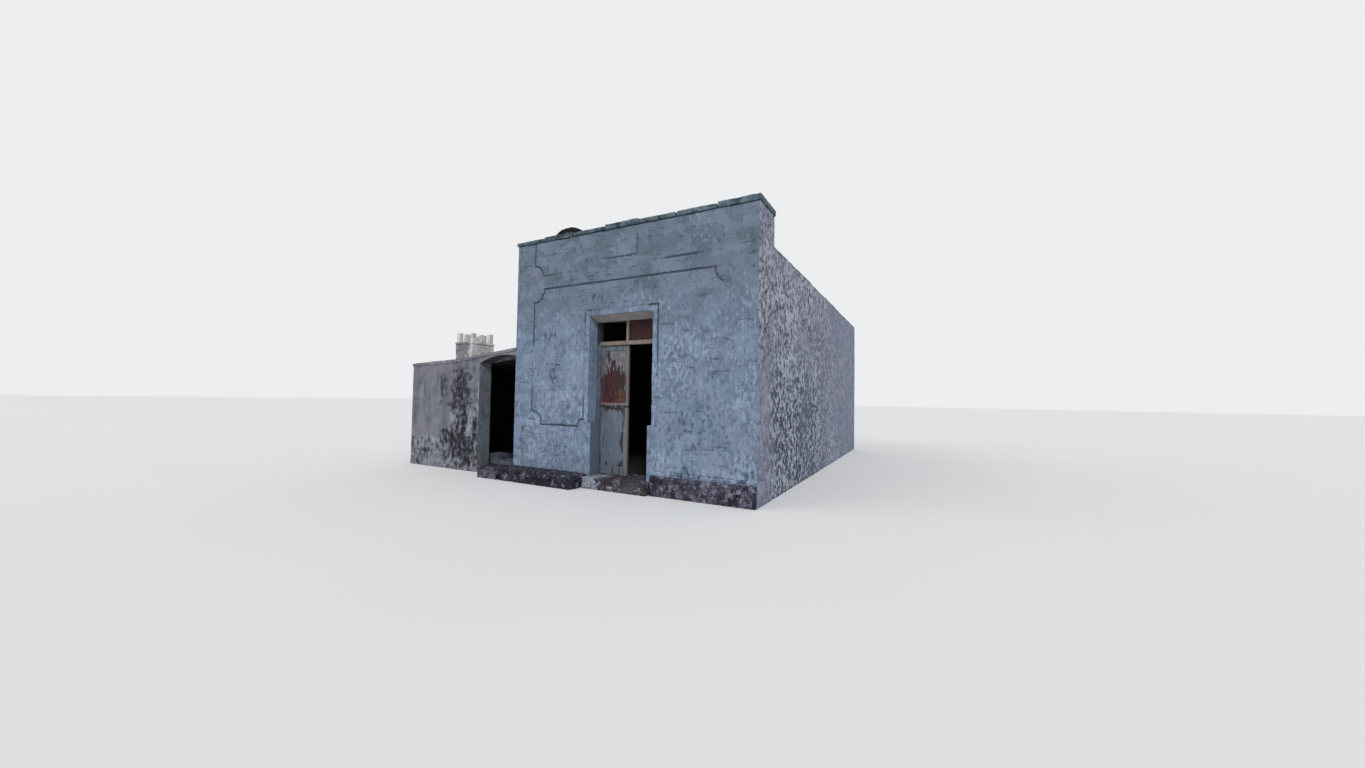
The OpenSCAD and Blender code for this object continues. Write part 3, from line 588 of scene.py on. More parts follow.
def panel_distance(u, z):
    """How far a point lies outside the lower panel; negative inside it."""
    d = rect_distance(u, z, *PANEL)
    for cu in PANEL[:2]:
        for cz in PANEL[2:]:
            d = np.maximum(d, PANEL_R - np.hypot(u - cu, z - cz))
    d = np.maximum(d, -rect_distance(u, z, INNER[0], INNER[1], -1, INNER[2]))
    for cu in INNER[:2]:
        d = np.maximum(d, INNER_R - np.hypot(u - cu, z - PANEL[2]))
    return d


def frieze_distance(u, z):
    d = rect_distance(u, z, PANEL[0], PANEL[1], FRIEZE_LOW, PARAPET_TOP + 1)
    for cu in PANEL[:2]:
        d = np.maximum(d, FRIEZE_R - np.hypot(u - cu, z - FRIEZE_LOW))
    return np.maximum(d, z - PARAPET_TOP)


def margin_distance(u, z):
    d = rect_distance(u, z, 0, WIDTH, 0, PARAPET_TOP)
    d = np.maximum(d, GROOVE - panel_distance(u, z))
    d = np.maximum(d, GROOVE - frieze_distance(u, z))
    d = np.maximum(d, -rect_distance(u, z, *DOOR, -1, OPENING_TOP))
    d = np.maximum(d, -rect_distance(u, z, -1, DOOR[0] + 0.001, -1, BENCH_TOP - UNDERLAP))
    return np.maximum(d, -rect_distance(u, z, DOOR[1] - 0.001, WIDTH + 1, -1, BASE_TOP - UNDERLAP))


def plaque_distance(u, z):
    return rect_distance(u, z, *PLAQUE)


def outline_candidates():
    """Points along every line and circle that bounds a plaster field."""
    uprights = [0, WIDTH, *DOOR, *PLAQUE[:2]]
    levels = [PARAPET_TOP, OPENING_TOP, BENCH_TOP - UNDERLAP, BASE_TOP - UNDERLAP, *PLAQUE[2:], SILL, 0.0]
    for grow in (0, GROOVE):
        uprights += [PANEL[0] - grow, PANEL[1] + grow, INNER[0] + grow, INNER[1] - grow]
        levels += [PANEL[2] - grow, PANEL[3] + grow, INNER[2] - grow, FRIEZE_LOW - grow]
    zs = np.arange(0, PARAPET_TOP + FINE / 2, FINE)
    xs = np.arange(0, WIDTH + FINE / 2, FINE)
    found = [np.column_stack([np.full_like(zs, x), zs]) for x in uprights]
    found += [np.column_stack([xs, np.full_like(xs, z)]) for z in levels]
    found.append(np.array([(x, z) for x in uprights for z in levels]))
    circles = [(cu, cz, PANEL_R) for cu in PANEL[:2] for cz in PANEL[2:]]
    circles += [(cu, PANEL[2], INNER_R) for cu in INNER[:2]]
    circles += [(cu, FRIEZE_LOW, FRIEZE_R) for cu in PANEL[:2]]
    for cu, cz, r in circles:
        for radius in (r, r - GROOVE):
            turn = np.linspace(0, 2 * math.pi, int(2 * math.pi * radius / FINE), endpoint=False)
            found.append(np.column_stack([cu + radius * np.cos(turn), cz + radius * np.sin(turn)]))
    return np.concatenate(found)


# Soft patches of wear seen on the front: middle u, middle z, half width, half height, strength.
FRONT_WEAR = [(0.90, 1.72, 0.15, 0.23, 0.36), (0.20, 0.80, 0.11, 0.38, 0.22), (0.97, 0.58, 0.32, 0.14, 0.22),
              (0.74, 1.32, 0.10, 0.12, 0.20), (0.78, 2.40, 0.22, 0.12, 0.14), (1.52, 2.00, 0.07, 0.45, 0.12),
              (3.50, 1.00, 0.40, 0.28, 0.08), (3.60, 0.74, 0.38, 0.05, 0.18), (3.20, 1.15, 0.35, 0.22, 0.10),
              (4.20, 0.45, 0.25, 0.25, 0.15), (2.65, 3.05, 0.40, 0.12, 0.16), (1.80, 3.00, 0.35, 0.10, 0.10),
              (3.35, 2.50, 0.40, 0.15, 0.10), (0.75, 2.45, 0.30, 0.12, 0.10), (3.90, 1.50, 0.35, 0.50, 0.06),
              (2.95, 0.42, 0.20, 0.12, 0.14)]
# Stretches where limewash has nearly filled the grooves, in the same way.
FILLED = [(3.99, 1.85, 0.12, 1.10, 0.80), (3.80, 3.75, 0.30, 0.40, 0.80), (1.90, 3.43, 1.20, 0.06, 0.65),
          (2.20, 2.80, 0.66, 0.06, 0.75), (1.50, 1.90, 0.06, 0.95, 0.52), (2.90, 1.40, 0.06, 0.60, 0.50),
          (3.40, 0.93, 0.72, 0.08, 0.65), (0.40, 1.90, 0.06, 0.50, 0.25), (3.84, 1.06, 0.12, 0.12, 0.70),
          (3.84, 3.10, 0.12, 0.12, 0.25), (0.41, 3.70, 0.05, 0.30, 0.25), (0.41, 2.10, 0.05, 0.13, 0.65),
          (0.41, 1.62, 0.05, 0.10, 0.30)]
# Open cracks and joints, and painted shade lines (the first two along the plaque's right and bottom edges,
# the one at 0.35 m above the base course): from u, z to u, z, and how wide they stand open.
CRACKS_AND_SHADE_LINES = [(2.487, 3.553, 2.487, 3.870, 1.7), (2.060, 3.553, 2.487, 3.553, 1.6),
          (2.220, 3.230, 2.222, 3.410, 0.8), (4.030, 1.905, 4.230, 1.900, 1.6),
          (4.215, 1.910, 4.200, 2.270, 1.2), (3.330, 0.685, 3.800, 0.712, 1.2),
          (2.850, 0.352, 4.330, 0.345, 1.2), (4.230, 1.900, 4.390, 1.896, 1.0)]


def soft_patches(u, v, patches):
    total = np.zeros(len(u))
    for cu, cv, hu, hv, strength in patches:
        total += strength * np.exp(-((u - cu) / hu) ** 2 - ((v - cv) / hv) ** 2)
    return total


def crack_and_shade_lines():
    """Each crack or painted shade line as closely set points that waver about its line, and the direction
    across it.
    """
    found = []
    for n, (u0, z0, u1, z1, _) in enumerate(CRACKS_AND_SHADE_LINES):
        run, length = np.array([u1 - u0, z1 - z0]), math.hypot(u1 - u0, z1 - z0)
        across = np.array([-run[1], run[0]]) / length
        line = np.array([u0, z0]) + np.linspace(0, 1, int(length / FINE))[:, None] * run
        p = on_wall(*line.T)
        found.append((line + (0.008 * noise(p, 0.07, 51 + n, 2))[:, None] * across, across))
    return found


CRACK_AND_SHADE_LINES = crack_and_shade_lines()


def crack_or_shade_line_distance(u, z):
    """Distance to the nearest crack or painted shade line, shortened at those that stand open wide."""
    nearest = np.full(len(u), 9.0)
    for (line, _), (*_, wide) in zip(CRACK_AND_SHADE_LINES, CRACKS_AND_SHADE_LINES):
        for cu, cz in line:
            nearest = np.minimum(nearest, ((u - cu) ** 2 + (z - cz) ** 2) / wide ** 2)
    return np.sqrt(nearest)


def groove_fill(u, z):
    """How far limewash fills a groove at this place: 1 where it can hardly be seen any more."""
    p = on_wall(u, z)
    return np.clip(0.28 + 0.26 * noise(p, 0.40, 41, 2) + soft_patches(u, z, FILLED), 0, 1)


def front_relief(u, z, inside):
    """Height of the plaster over its nominal face and the fields of its finish."""
    p = on_wall(u, z)
    tall = p * np.array([1.0, 1.0, 0.4])
    joint, _ = stones(u + 0.02 * noise(p, 0.5, 5), z + 0.015 * noise(p, 0.6, 6), 0.55, 0.30, 4)
    shown = smooth(noise(p, 0.7, 8, 2), 0.05, 0.45)
    flake = smooth(noise(p, 0.22, 9, 4), 0.10, 0.22)
    open_edge = 1 - 0.85 * smooth(groove_fill(u, z), 0.35, 0.95)
    crack = crack_or_shade_line_distance(u, z)
    height = 0.0045 * noise(p, 1.1, 1) + 0.0030 * noise(p, 0.30, 2, 2) + 0.0014 * noise(tall, 0.06, 3, 2)
    height -= 0.0026 * flake + 0.004 * shown * smooth(0.007 - joint, 0, 0.006)
    chip = smooth(noise(p, 0.09, 12, 2), 0.05, 0.6)
    height -= (0.0035 + 0.010 * chip) * open_edge * np.exp(-inside / (0.004 + 0.006 * chip))
    height -= 0.006 * np.exp(-(crack / 0.0055) ** 2)
    low_down, lower = smooth(0.75 - z, 0, 0.6), smooth(2.4 - z, 0, 1.4)
    patches = soft_patches(u, z, FRONT_WEAR)
    wear = 0.15 + (0.11 + 0.05 * lower) * noise(tall, 0.085, 21, 3) + 0.09 * noise(p, 0.6, 22) + patches
    wear += 0.05 * low_down + 0.15 * chip * open_edge * np.exp(-inside / 0.02)
    wear += 0.20 * shown * smooth(0.010 - joint, 0, 0.01)
    stain = 0.06 + (0.14 + 0.05 * lower) * noise(tall, 0.07, 23, 3) + 0.09 * noise(p, 0.5, 24)
    stain += 0.05 * smooth(z, 3.1, 3.9)
    stain += 0.12 * low_down * noise(p, 0.12, 25, 2) + 0.35 * patches
    # Darkens along every line: real cracks, and painted shade along the plaque's right and bottom edges and
    # above the base course.
    stain += 0.65 * np.exp(-(crack / 0.005) ** 2) * (0.75 + 0.5 * noise(p, 0.10, 28))
    stain += 0.8 * np.exp(-((u - 1.69) / 0.035) ** 2 - ((z - 2.99) / 0.040) ** 2)
    # Painted shade in the crease where the plaster meets the base course.
    shade_above_base = np.exp(-((z - BASE_TOP - 0.018) / 0.024) ** 2) * smooth(u, 2.85, 3.0)
    stain += shade_above_base * (0.42 + 0.4 * noise(p, 0.12, 29, 2))
    cast = 0.95 * smooth(z, 1.9, 3.4) + 0.30 * noise(p, 0.7, 26, 3) + 0.12 * smooth(u, 3.0, 4.3)
    rough = 0.30 + 0.22 * noise(p, 0.45, 27, 2) + 0.18 * low_down + 0.08 * lower + patches
    rough -= 0.12 * smooth(z, 2.4, 3.3)
    return height, {"wear": wear, "stain": stain, "cast": np.clip(cast, 0, 1), "rough": rough}


# How far the edges of a field waver, the rows of points inside them, and beside a crack, in metres.
EDGE_DRIFT, EDGE_RINGS, CRACK_SIDE = 0.0045, (0.004, 0.011), 0.0075


def plaster_field(name, distance, node, front, behind, spacing=0.0145):
    """One field of plaster cut to its outline, with eroded edges that turn back to the wall."""
    line = outline_candidates()
    line = line[np.abs(distance(*line.T)) < 1e-5]
    line = line[np.unique(np.round(line / 0.004).astype(int), axis=0, return_index=True)[1]]
    e = 5e-4
    slope = np.column_stack([distance(line[:, 0] + e, line[:, 1]) - distance(line[:, 0] - e, line[:, 1]),
                             distance(line[:, 0], line[:, 1] + e) - distance(line[:, 0], line[:, 1] - e)])
    slope /= np.maximum(np.linalg.norm(slope, axis=1), 1e-9)[:, None]
    rings = [line]
    for inset in EDGE_RINGS:
        ring = line - slope * inset
        rings.append(ring[np.abs(distance(*ring.T) + inset) < 6e-4])
    rows = np.arange(0, PARAPET_TOP, spacing * 0.866)
    grid = np.array([(x, z) for n, z in enumerate(rows)
                     for x in np.arange((n % 2) * spacing / 2, WIDTH, spacing)])
    grid = grid[(distance(*grid.T) < -0.018) & (crack_or_shade_line_distance(*grid.T) > 0.013)]
    for middle, across in CRACK_AND_SHADE_LINES:
        rings += [row[distance(*row.T) < -0.014]
                  for row in (middle, middle + CRACK_SIDE * across, middle - CRACK_SIDE * across)]
    flat = np.concatenate(rings + [grid])
    result = delaunay_2d_cdt([Vector(p) for p in flat.tolist()], [], [], 0, 1e-7, False)
    flat = np.array([tuple(v) for v in result[0]])
    corners = np.array([f for f in result[2] if len(f) == 3])
    middle = flat[corners].mean(axis=1)
    corners = corners[distance(*middle.T) < -2e-5]
    a, b, c = flat[corners[:, 0]], flat[corners[:, 1]], flat[corners[:, 2]]
    turn = (b[:, 0] - a[:, 0]) * (c[:, 1] - a[:, 1]) - (b[:, 1] - a[:, 1]) * (c[:, 0] - a[:, 0])
    corners[turn < 0] = corners[turn < 0][:, ::-1]
    corners = corners[np.abs(turn) > 1e-10]
    edges = {}
    for i, j, k in corners.tolist():
        for edge in ((i, j), (j, k), (k, i)):
            edges[edge] = True
    rim = [edge for edge in edges if (edge[1], edge[0]) not in edges]
    inside = np.maximum(-distance(*flat.T), 0)
    u, z = flat.T
    height, fields = front_relief(u, z, inside)
    p = on_wall(u, z)
    drift = EDGE_DRIFT * np.exp(-inside / 0.012) * smooth(u, 0, 0.05) * smooth(WIDTH - u, 0, 0.05)
    rise = drift * noise(p, 0.06, 32, 2) * smooth(PARAPET_TOP - z, 0, 0.02)
    points = np.column_stack([LEFT + u + drift * noise(p, 0.06, 31, 2), front - height, z + rise])
    order = sorted({n for edge in rim for n in edge})
    place = {n: len(points) + k for k, n in enumerate(order)}
    backs = points[order].copy()
    backs[:, 1] = behind
    local = {n: k for k, n in enumerate(order)}
    closed = delaunay_2d_cdt([Vector((x, z)) for x, z in flat[order].tolist()],
                             [(local[i], local[j]) for i, j in rim], [], 0, 1e-9, True)
    polygons = corners.tolist()
    for face in closed[2]:
        ids = [closed[3][n][0] for n in face if closed[3][n]]
        if len(ids) != 3:
            continue
        x, z = flat[[order[n] for n in ids]].mean(axis=0)
        if distance(np.array([x]), np.array([z]))[0] < -2e-5:
            q = flat[[order[n] for n in ids]]
            area = (q[1, 0] - q[0, 0]) * (q[2, 1] - q[0, 1]) - (q[1, 1] - q[0, 1]) * (q[2, 0] - q[0, 0])
            ids = ids if area < 0 else ids[::-1]
            polygons.append([place[order[n]] for n in ids])
    polygons += [[i, place[i], place[j], j] for i, j in rim]
    points = np.concatenate([points, backs])
    fields = {key: np.concatenate([v, v[order]]) for key, v in fields.items()}
    return make_piece(name, points, polygons, LIMES["facade"], fields, nodes=[node], sharp=55)


def groove_lime():
    """Old lime at the bottom of the grooves, thicker and paler where they have nearly filled up, darkened
    with painted shade where they stay open.
    """
    def relief(points, u, v):
        fill = groove_fill(u, v)
        _, fields = front_relief(u, v, u * 0 + 1)
        shut = smooth(fill, 0.25, 0.85)
        # Painted shade: the open grooves are darkened by stain and bare colour.
        fields["stain"] = fields["stain"] + 0.75 * (1 - shut)
        fields["wear"] = fields["wear"] + 0.25 * (1 - shut)
        return 0.004 + 0.020 * fill, fields
    gap = (DOOR[0] - 0.05, DOOR[1] + 0.05, OPENING_TOP + 0.04)
    coat("groove_lime", (LEFT, CORE, 0), "front", [0.05, *gap[:2], WIDTH - 0.05],
         [0.4, gap[2], PARAPET_TOP - 0.01], 0.04, relief, LIMES["facade"],
         is_open=lambda u, v: gap[0] < u < gap[1] and v < gap[2])


for name, distance, node in (("plaster_margin", margin_distance, "facade_margin"),
                             ("plaster_lower_panel", panel_distance, "lower_panel"),
                             ("plaster_frieze", frieze_distance, "frieze_panel")):
    plaster_field(name, distance, node, FRONT, CORE)
plaster_field("plaster_plaque", plaque_distance, "frieze_plaque", plaque_low.y, FRONT + 0.004, 0.02)
groove_lime()


# ---- The rough walls
def rough_relief(seed, rough, wear, stain, cast, drip=0.0, margin=None, lift=0.0065):
    """Limewash over coursed blocks: joints, blisters and lost skin. Each share is a number or a
    function of (u, v); drip draws soft upright bands."""
    def share(value, u, v):
        return value(u, v) if callable(value) else value + u * 0

    def relief(points, u, v):
        p = on_wall(u, v)
        much = np.clip(share(rough, u, v) * (0.9 + 0.6 * noise(p, 0.60, seed + 13, 3)), 0, 1.6)
        bent_u, bent_v = u + 0.03 * noise(p, 0.35, seed + 1), v + 0.022 * noise(p, 0.45, seed + 2)
        joint, tone = stones(bent_u, bent_v, 0.46, 0.30, seed)
        shown = smooth(noise(p, 0.8, seed + 3, 2), -0.35, 0.35)
        lumps = noise(p, 0.12, seed + 4, 3)
        lost = smooth(noise(p, 0.085, seed + 5, 3), 0.0, 0.22)
        height = lift + 0.005 * noise(p, 1.3, seed + 6) + 0.003 * (tone - 0.5) * shown
        height += much * (0.0040 * lumps + 0.0025 * noise(p, 0.045, seed + 7) - 0.0030 * lost)
        height -= (0.002 + 0.006 * much) * shown * smooth(0.016 - joint, 0, 0.014)
        if margin is not None:
            height = 0.0015 + (height - 0.0015) * smooth(margin(u, v), 0, 0.03)
        tall = p * np.array([1.0, 1.0, 0.10])
        streak = noise(tall, 0.075, seed + 8, 3) * share(drip, u, v)
        worn = share(wear, u, v) + much * (0.10 * (lost - 0.4) + 0.16 * noise(p, 0.045, seed + 9, 2))
        worn += 0.10 * shown * smooth(0.02 - joint, 0, 0.02) * much + 0.10 * noise(p, 0.35, seed + 12, 2)
        dark = share(stain, u, v) + (0.08 + 0.08 * much) * noise(p, 0.075, seed + 10, 4)
        dark += 0.15 * streak
        tint = share(cast, u, v) + 0.25 * noise(p, 0.5, seed + 11, 2) + streak
        return np.maximum(height, 0.001), {"wear": worn, "stain": dark, "cast": np.clip(tint, 0, 1),
                                           "rough": 0.25 + 0.5 * much}
    return relief


depth_of_front = PARAPET_BACK - FRONT
depth_of_house = BACK - FRONT


def annex_top(x):
    """Height of the annex roof's top at x."""
    return BEND_Z + (x - BEND_X) * np.where(x < BEND_X, *ROOF_SLOPES)


def right_rough(u, v):
    """How rough the right side is: broken in the near half and most of all low down, smoother by the
    corner's foot and far away."""
    near = 0.28 + 0.72 * smooth(7.6 - u, 0, 5.6)
    corner = 0.42 + 0.53 * smooth(v, 1.5, 2.3)
    low_band = smooth(2.1 - v, 0, 1.1) * smooth(u, 0.35, 1.1) * smooth(4.4 - u, 0, 1.8)
    return near * (corner + (1 - corner) * smooth(u, 0.20, 0.9)) + 0.5 * low_band


def right_wear(u, v):
    """Lime is lost most in a band low down between one and four metres from the front."""
    low_band = smooth(2.3 - v, 0, 1.2) * smooth(u, 0.3, 1.1) * smooth(4.6 - u, 0, 1.8)
    return 0.20 + 0.12 * right_rough(u, v) + 0.10 * low_band


def foot_wear(u, v):
    return 0.21 + 0.12 * smooth(0.6 - v, 0, 0.6)


def top_stain(u, v):
    """Rain carries dark growth down from the wall's head."""
    return 0.10 + 0.12 * smooth(v, 2.6, 3.5) + 0.08 * smooth(0.4 - v, 0, 0.4)


def top_drip(u, v):
    return 0.3 + 1.0 * smooth(v, 1.2, 3.4)


coat("limewash_right_side", (RIGHT, FRONT, 0), "right",
     [0.0, depth_of_front, depth_of_house], [0.0, WALL_TOP, PARAPET_TOP], 0.019,
     rough_relief(60, right_rough, right_wear,
                  lambda u, v: 0.02 + 0.7 * (right_wear(u, v) - 0.20),
                  lambda u, v: 0.05 + 0.60 * smooth(v, 1.4, 2.9) * smooth(5.6 - u, 0, 2.5),
                  drip=0.22, margin=lambda u, v: u),
     LIMES["rough_wall"], is_open=lambda u, v: u > depth_of_front and v > WALL_TOP, slot="lime_washed_stone")
coat("limewash_back", (RIGHT, BACK, 0), "back", [0.0, WIDTH], [0.0, WALL_TOP],
     0.026, rough_relief(80, 0.50, foot_wear, top_stain, 0.15, top_drip), LIMES["rough_wall"],
     slot="lime_washed_stone")
# The annex's room along the left side, and the underside of its roof.
annex_in = [BACK - ANNEX_BACK + ANNEX_WALL, BACK - ANNEX_WALL_BACK]
under_roof = float(roof_high.z) - ROOF_T
coat("limewash_left_side", (LEFT, BACK, 0), "left",
     sorted([0.0, depth_of_house - depth_of_front, depth_of_house] + annex_in),
     [0.0, under_roof, WALL_TOP, PARAPET_TOP], 0.027,
     rough_relief(100, 0.50, foot_wear, top_stain, 0.15, top_drip, margin=lambda u, v: depth_of_house - u),
     LIMES["rough_wall"], slot="lime_washed_stone",
     is_open=lambda u, v: (u < depth_of_house - depth_of_front and v > WALL_TOP)
     or (annex_in[0] < u < annex_in[1] and v < under_roof))
coat("limewash_parapet_back", (RIGHT, PARAPET_BACK, WALL_TOP), "back",
     [0.0, WIDTH], [0.0, PARAPET_TOP - WALL_TOP], 0.025, rough_relief(120, 0.5, 0.25, 0.18, 0.1, 0.3),
     LIMES["rough_wall"], slot="lime_washed_stone")


def head_relief(points, u, v):
    """The uneven stones of a wall's head."""
    p = np.column_stack([u, v, u * 0])
    joint, tone = stones(u + 0.03 * noise(p, 0.3, 201), v * 0 + 0.1, 0.34, 1.0, 200)
    height = 0.020 + 0.018 * (tone - 0.5) + 0.010 * noise(p, 0.12, 202, 3)
    height -= 0.014 * smooth(0.02 - joint, 0, 0.02)
    fields = {"wear": 0.35 + 0.3 * noise(p, 0.09, 203, 3), "stain": 0.30 + 0.25 * noise(p, 0.11, 204, 3),
              "rough": 0.5 + u * 0, "cast": 0.3 + 0.3 * noise(p, 0.4, 205)}
    return np.maximum(height, 0.003), fields


HEAD = 0.40       # how much of a wall's thickness shows beside the roof's slabs
for side, corner, along, inwards, length_of, step in (
        ("right", (RIGHT, PARAPET_BACK), (0, 1, 0), (-1, 0, 0), BACK - PARAPET_BACK, 0.028),
        ("left", (LEFT, BACK), (0, -1, 0), (1, 0, 0), BACK - PARAPET_BACK, 0.034),
        ("back", (LEFT + HEAD, BACK), (1, 0, 0), (0, -1, 0), WIDTH - 2 * HEAD, 0.034)):
    coat("wall_head_" + side, (*corner, WALL_TOP), (along, inwards, UP), [0.0, length_of], [0.0, HEAD], step,
         head_relief, LIMES["wall_head"], slot="bare_stone")


# The annex: the grid of a wall is drawn this high and stretched up to the underside of the roof.
ANNEX_FULL, ANNEX_JAMB_ENDS = 2.0, [0.11, 1.95]
annex_width = ANNEX_JAMB - ANNEX_LEFT


def stretched_to(top_of):
    return lambda u, v: (u, v / ANNEX_FULL * top_of(u))


# Dark clouds and pale patches seen on the annex front: middle u, middle v, half sizes, strength.
ANNEX_DARK = [(1.40, 1.62, 0.46, 0.36, 0.19), (1.60, 1.40, 0.22, 0.24, 0.13), (0.38, 1.47, 0.05, 0.30, 0.24),
              (0.93, 1.48, 0.05, 0.32, 0.24), (0.46, 0.30, 0.12, 0.12, 0.32), (1.03, 0.72, 0.15, 0.06, 0.26),
              (1.72, 0.34, 0.28, 0.30, 0.24), (1.92, 0.82, 0.06, 0.30, 0.36), (1.30, 0.40, 0.34, 0.26, 0.19),
              (1.60, 0.98, 0.08, 0.20, 0.32), (1.25, 0.62, 0.18, 0.12, 0.20), (0.15, 0.06, 0.20, 0.06, 0.20),
              (1.56, 1.74, 0.12, 0.12, 0.14), (1.28, 1.24, 0.18, 0.22, 0.16), (1.52, 0.74, 0.28, 0.28, 0.13),
              (1.02, 1.60, 0.22, 0.26, 0.10)]
ANNEX_PALE = [(1.76, 0.80, 0.07, 0.18, 0.34), (1.93, 0.46, 0.04, 0.15, 0.30), (0.73, 0.55, 0.10, 0.12, 0.18),
              (1.26, 0.94, 0.10, 0.12, 0.20), (1.00, 0.10, 0.16, 0.08, 0.26), (0.62, 1.50, 0.08, 0.30, 0.12),
              (0.15, 1.00, 0.12, 0.80, 0.08), (2.00, 1.50, 0.05, 0.45, 0.30), (1.15, 1.45, 0.07, 0.20, 0.12),
              (1.50, 0.18, 0.05, 0.08, 0.25), (1.85, 0.15, 0.03, 0.12, 0.25)]


def annex_rough(u, v):
    """How broken the annex front is: flaked by the doorway and along its foot, soft on the left."""
    right_half = smooth(u, 0.80, 1.50) * (0.55 + 0.45 * smooth(1.25 - v, 0, 0.35))
    return np.clip(0.05 + 0.85 * right_half + 0.70 * smooth(0.85 - v, 0, 0.45), 0, 1.0)


def annex_wear(u, v):
    pale = soft_patches(u, v, ANNEX_PALE)
    return 0.20 + 0.12 * annex_rough(u, v) + soft_patches(u, v, ANNEX_DARK) - pale


coat("limewash_annex_front", (ANNEX_LEFT, FRONT, 0), "front",
     [0.0, BEND_X - ANNEX_LEFT, annex_width], [0.0, ANNEX_FULL], 0.0145,
     rough_relief(140, annex_rough, annex_wear,
                  lambda u, v: annex_wear(u, v) - 0.10,
                  lambda u, v: 0.30 + 0.2 * smooth(v, 0.8, 1.6) + 0.3 * smooth(u, 0.8, 1.5),
                  drip=1.5, margin=lambda u, v: annex_width - u),
     LIMES["annex_wall"], slot="lime_washed_stone",
     warp=stretched_to(lambda u: annex_top(ANNEX_LEFT + u) - EAVE_T - 0.001))
coat("limewash_annex_left", (ANNEX_LEFT, ANNEX_BACK, 0), "left",
     [0.0, ANNEX_BACK - FRONT], [0.0, float(annex_top(np.array([ANNEX_LEFT]))[0]) - ROOF_T], 0.024,
     rough_relief(160, 0.5, 0.25, 0.12, 0.30, 0.5), LIMES["annex_wall"], slot="lime_washed_stone")
coat("limewash_annex_back", (LEFT, ANNEX_BACK, 0), "back",
     [0.0, LEFT - BEND_X, LEFT - ANNEX_LEFT], [0.0, ANNEX_FULL], 0.024,
     rough_relief(180, 0.5, 0.25, 0.12, 0.25, 0.4), LIMES["annex_wall"], slot="lime_washed_stone",
     warp=stretched_to(lambda u: annex_top(LEFT - u) - ROOF_T))
coat("limewash_annex_jamb", (ANNEX_JAMB, FRONT, 0), "right",
     [0.0, ANNEX_WALL_BACK - FRONT], ANNEX_JAMB_ENDS, 0.02,
     rough_relief(220, 0.35, 0.25, 0.15, 0.4, 0.6, margin=lambda u, v: u, lift=0.004), LIMES["annex_jamb"],
     slot="lime_washed_stone")

# The doorway's own faces, which end under the splayed soffit
reveal_deep = FRAME_FRONT - CORE
SOFFIT_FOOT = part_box("door_lintel")[0].z


def to_soffit(from_frame):
    """Stretches a grid up to the soffit; u runs from the frame outwards or from the front inwards."""
    def warp(u, v):
        out = u if from_frame else reveal_deep - u
        top = SOFFIT_FOOT - 0.001 + (OPENING_TOP - SOFFIT_FOOT) * out / reveal_deep
        return u, SILL + (v - SILL) * (top - SILL) / (SOFFIT_FOOT - SILL)
    return warp


coat("limewash_jamb_left", (DOOR_LEFT, CORE, 0), "right",
     [0.0, reveal_deep], [SILL, SOFFIT_FOOT], 0.016,
     rough_relief(230, 0.35, 0.18, 0.08, 0.15, 0.3, lift=0.004, margin=lambda u, v: u + 0.02),
     LIMES["left_reveal"], warp=to_soffit(False))
coat("limewash_jamb_right", (DOOR_RIGHT, FRAME_FRONT, 0), "left",
     [0.0, reveal_deep], [SILL, SOFFIT_FOOT], 0.016,
     rough_relief(240, 0.35, 0.18, 0.12, 0.25, 0.4, lift=0.004, margin=lambda u, v: reveal_deep + 0.02 - u),
     LIMES["reveal"], warp=to_soffit(True))


# ---- Stone made by geometry nodes
def new_tree(name, **sockets):
    """An empty tree with its named inputs, listed by kind."""
    tree = bpy.data.node_groups.new(name, "GeometryNodeTree")
    tree.interface.new_socket("Geometry", in_out="OUTPUT", socket_type="NodeSocketGeometry")
    for kind, labels in sockets.items():
        for label in labels:
            tree.interface.new_socket(label, in_out="INPUT", socket_type="NodeSocket" + kind)
    return tree, add(tree, "NodeGroupInput")


def end_tree(tree, geometry, given):
    """Every tree ends in real mesh with its material on it."""
    real = add(tree, "GeometryNodeRealizeInstances", {"Geometry": geometry})[0]
    dressed = add(tree, "GeometryNodeSetMaterial", {"Geometry": real, "Material": given["Material"]})[0]
    add(tree, "NodeGroupOutput", {"Geometry": dressed})
    return tree


def grow(tree, **values):
    """Runs a tree with its named sizes and returns the plain mesh."""
    holder = new_object("holder", bpy.data.meshes.new("holder"))
    modifier = holder.modifiers.new("grow", "NODES")
    modifier.node_group = tree
    for item in tree.interface.items_tree:
        if item.in_out == "INPUT":
            modifier[item.identifier] = values[item.name]
    mesh = bpy.data.meshes.new_from_object(holder.evaluated_get(bpy.context.evaluated_depsgraph_get()))
    bpy.data.objects.remove(holder)
    return mesh


def points_of(mesh):
    co = np.empty(len(mesh.vertices) * 3, np.float32)
    mesh.vertices.foreach_get("co", co)
    return co.reshape(-1, 3)


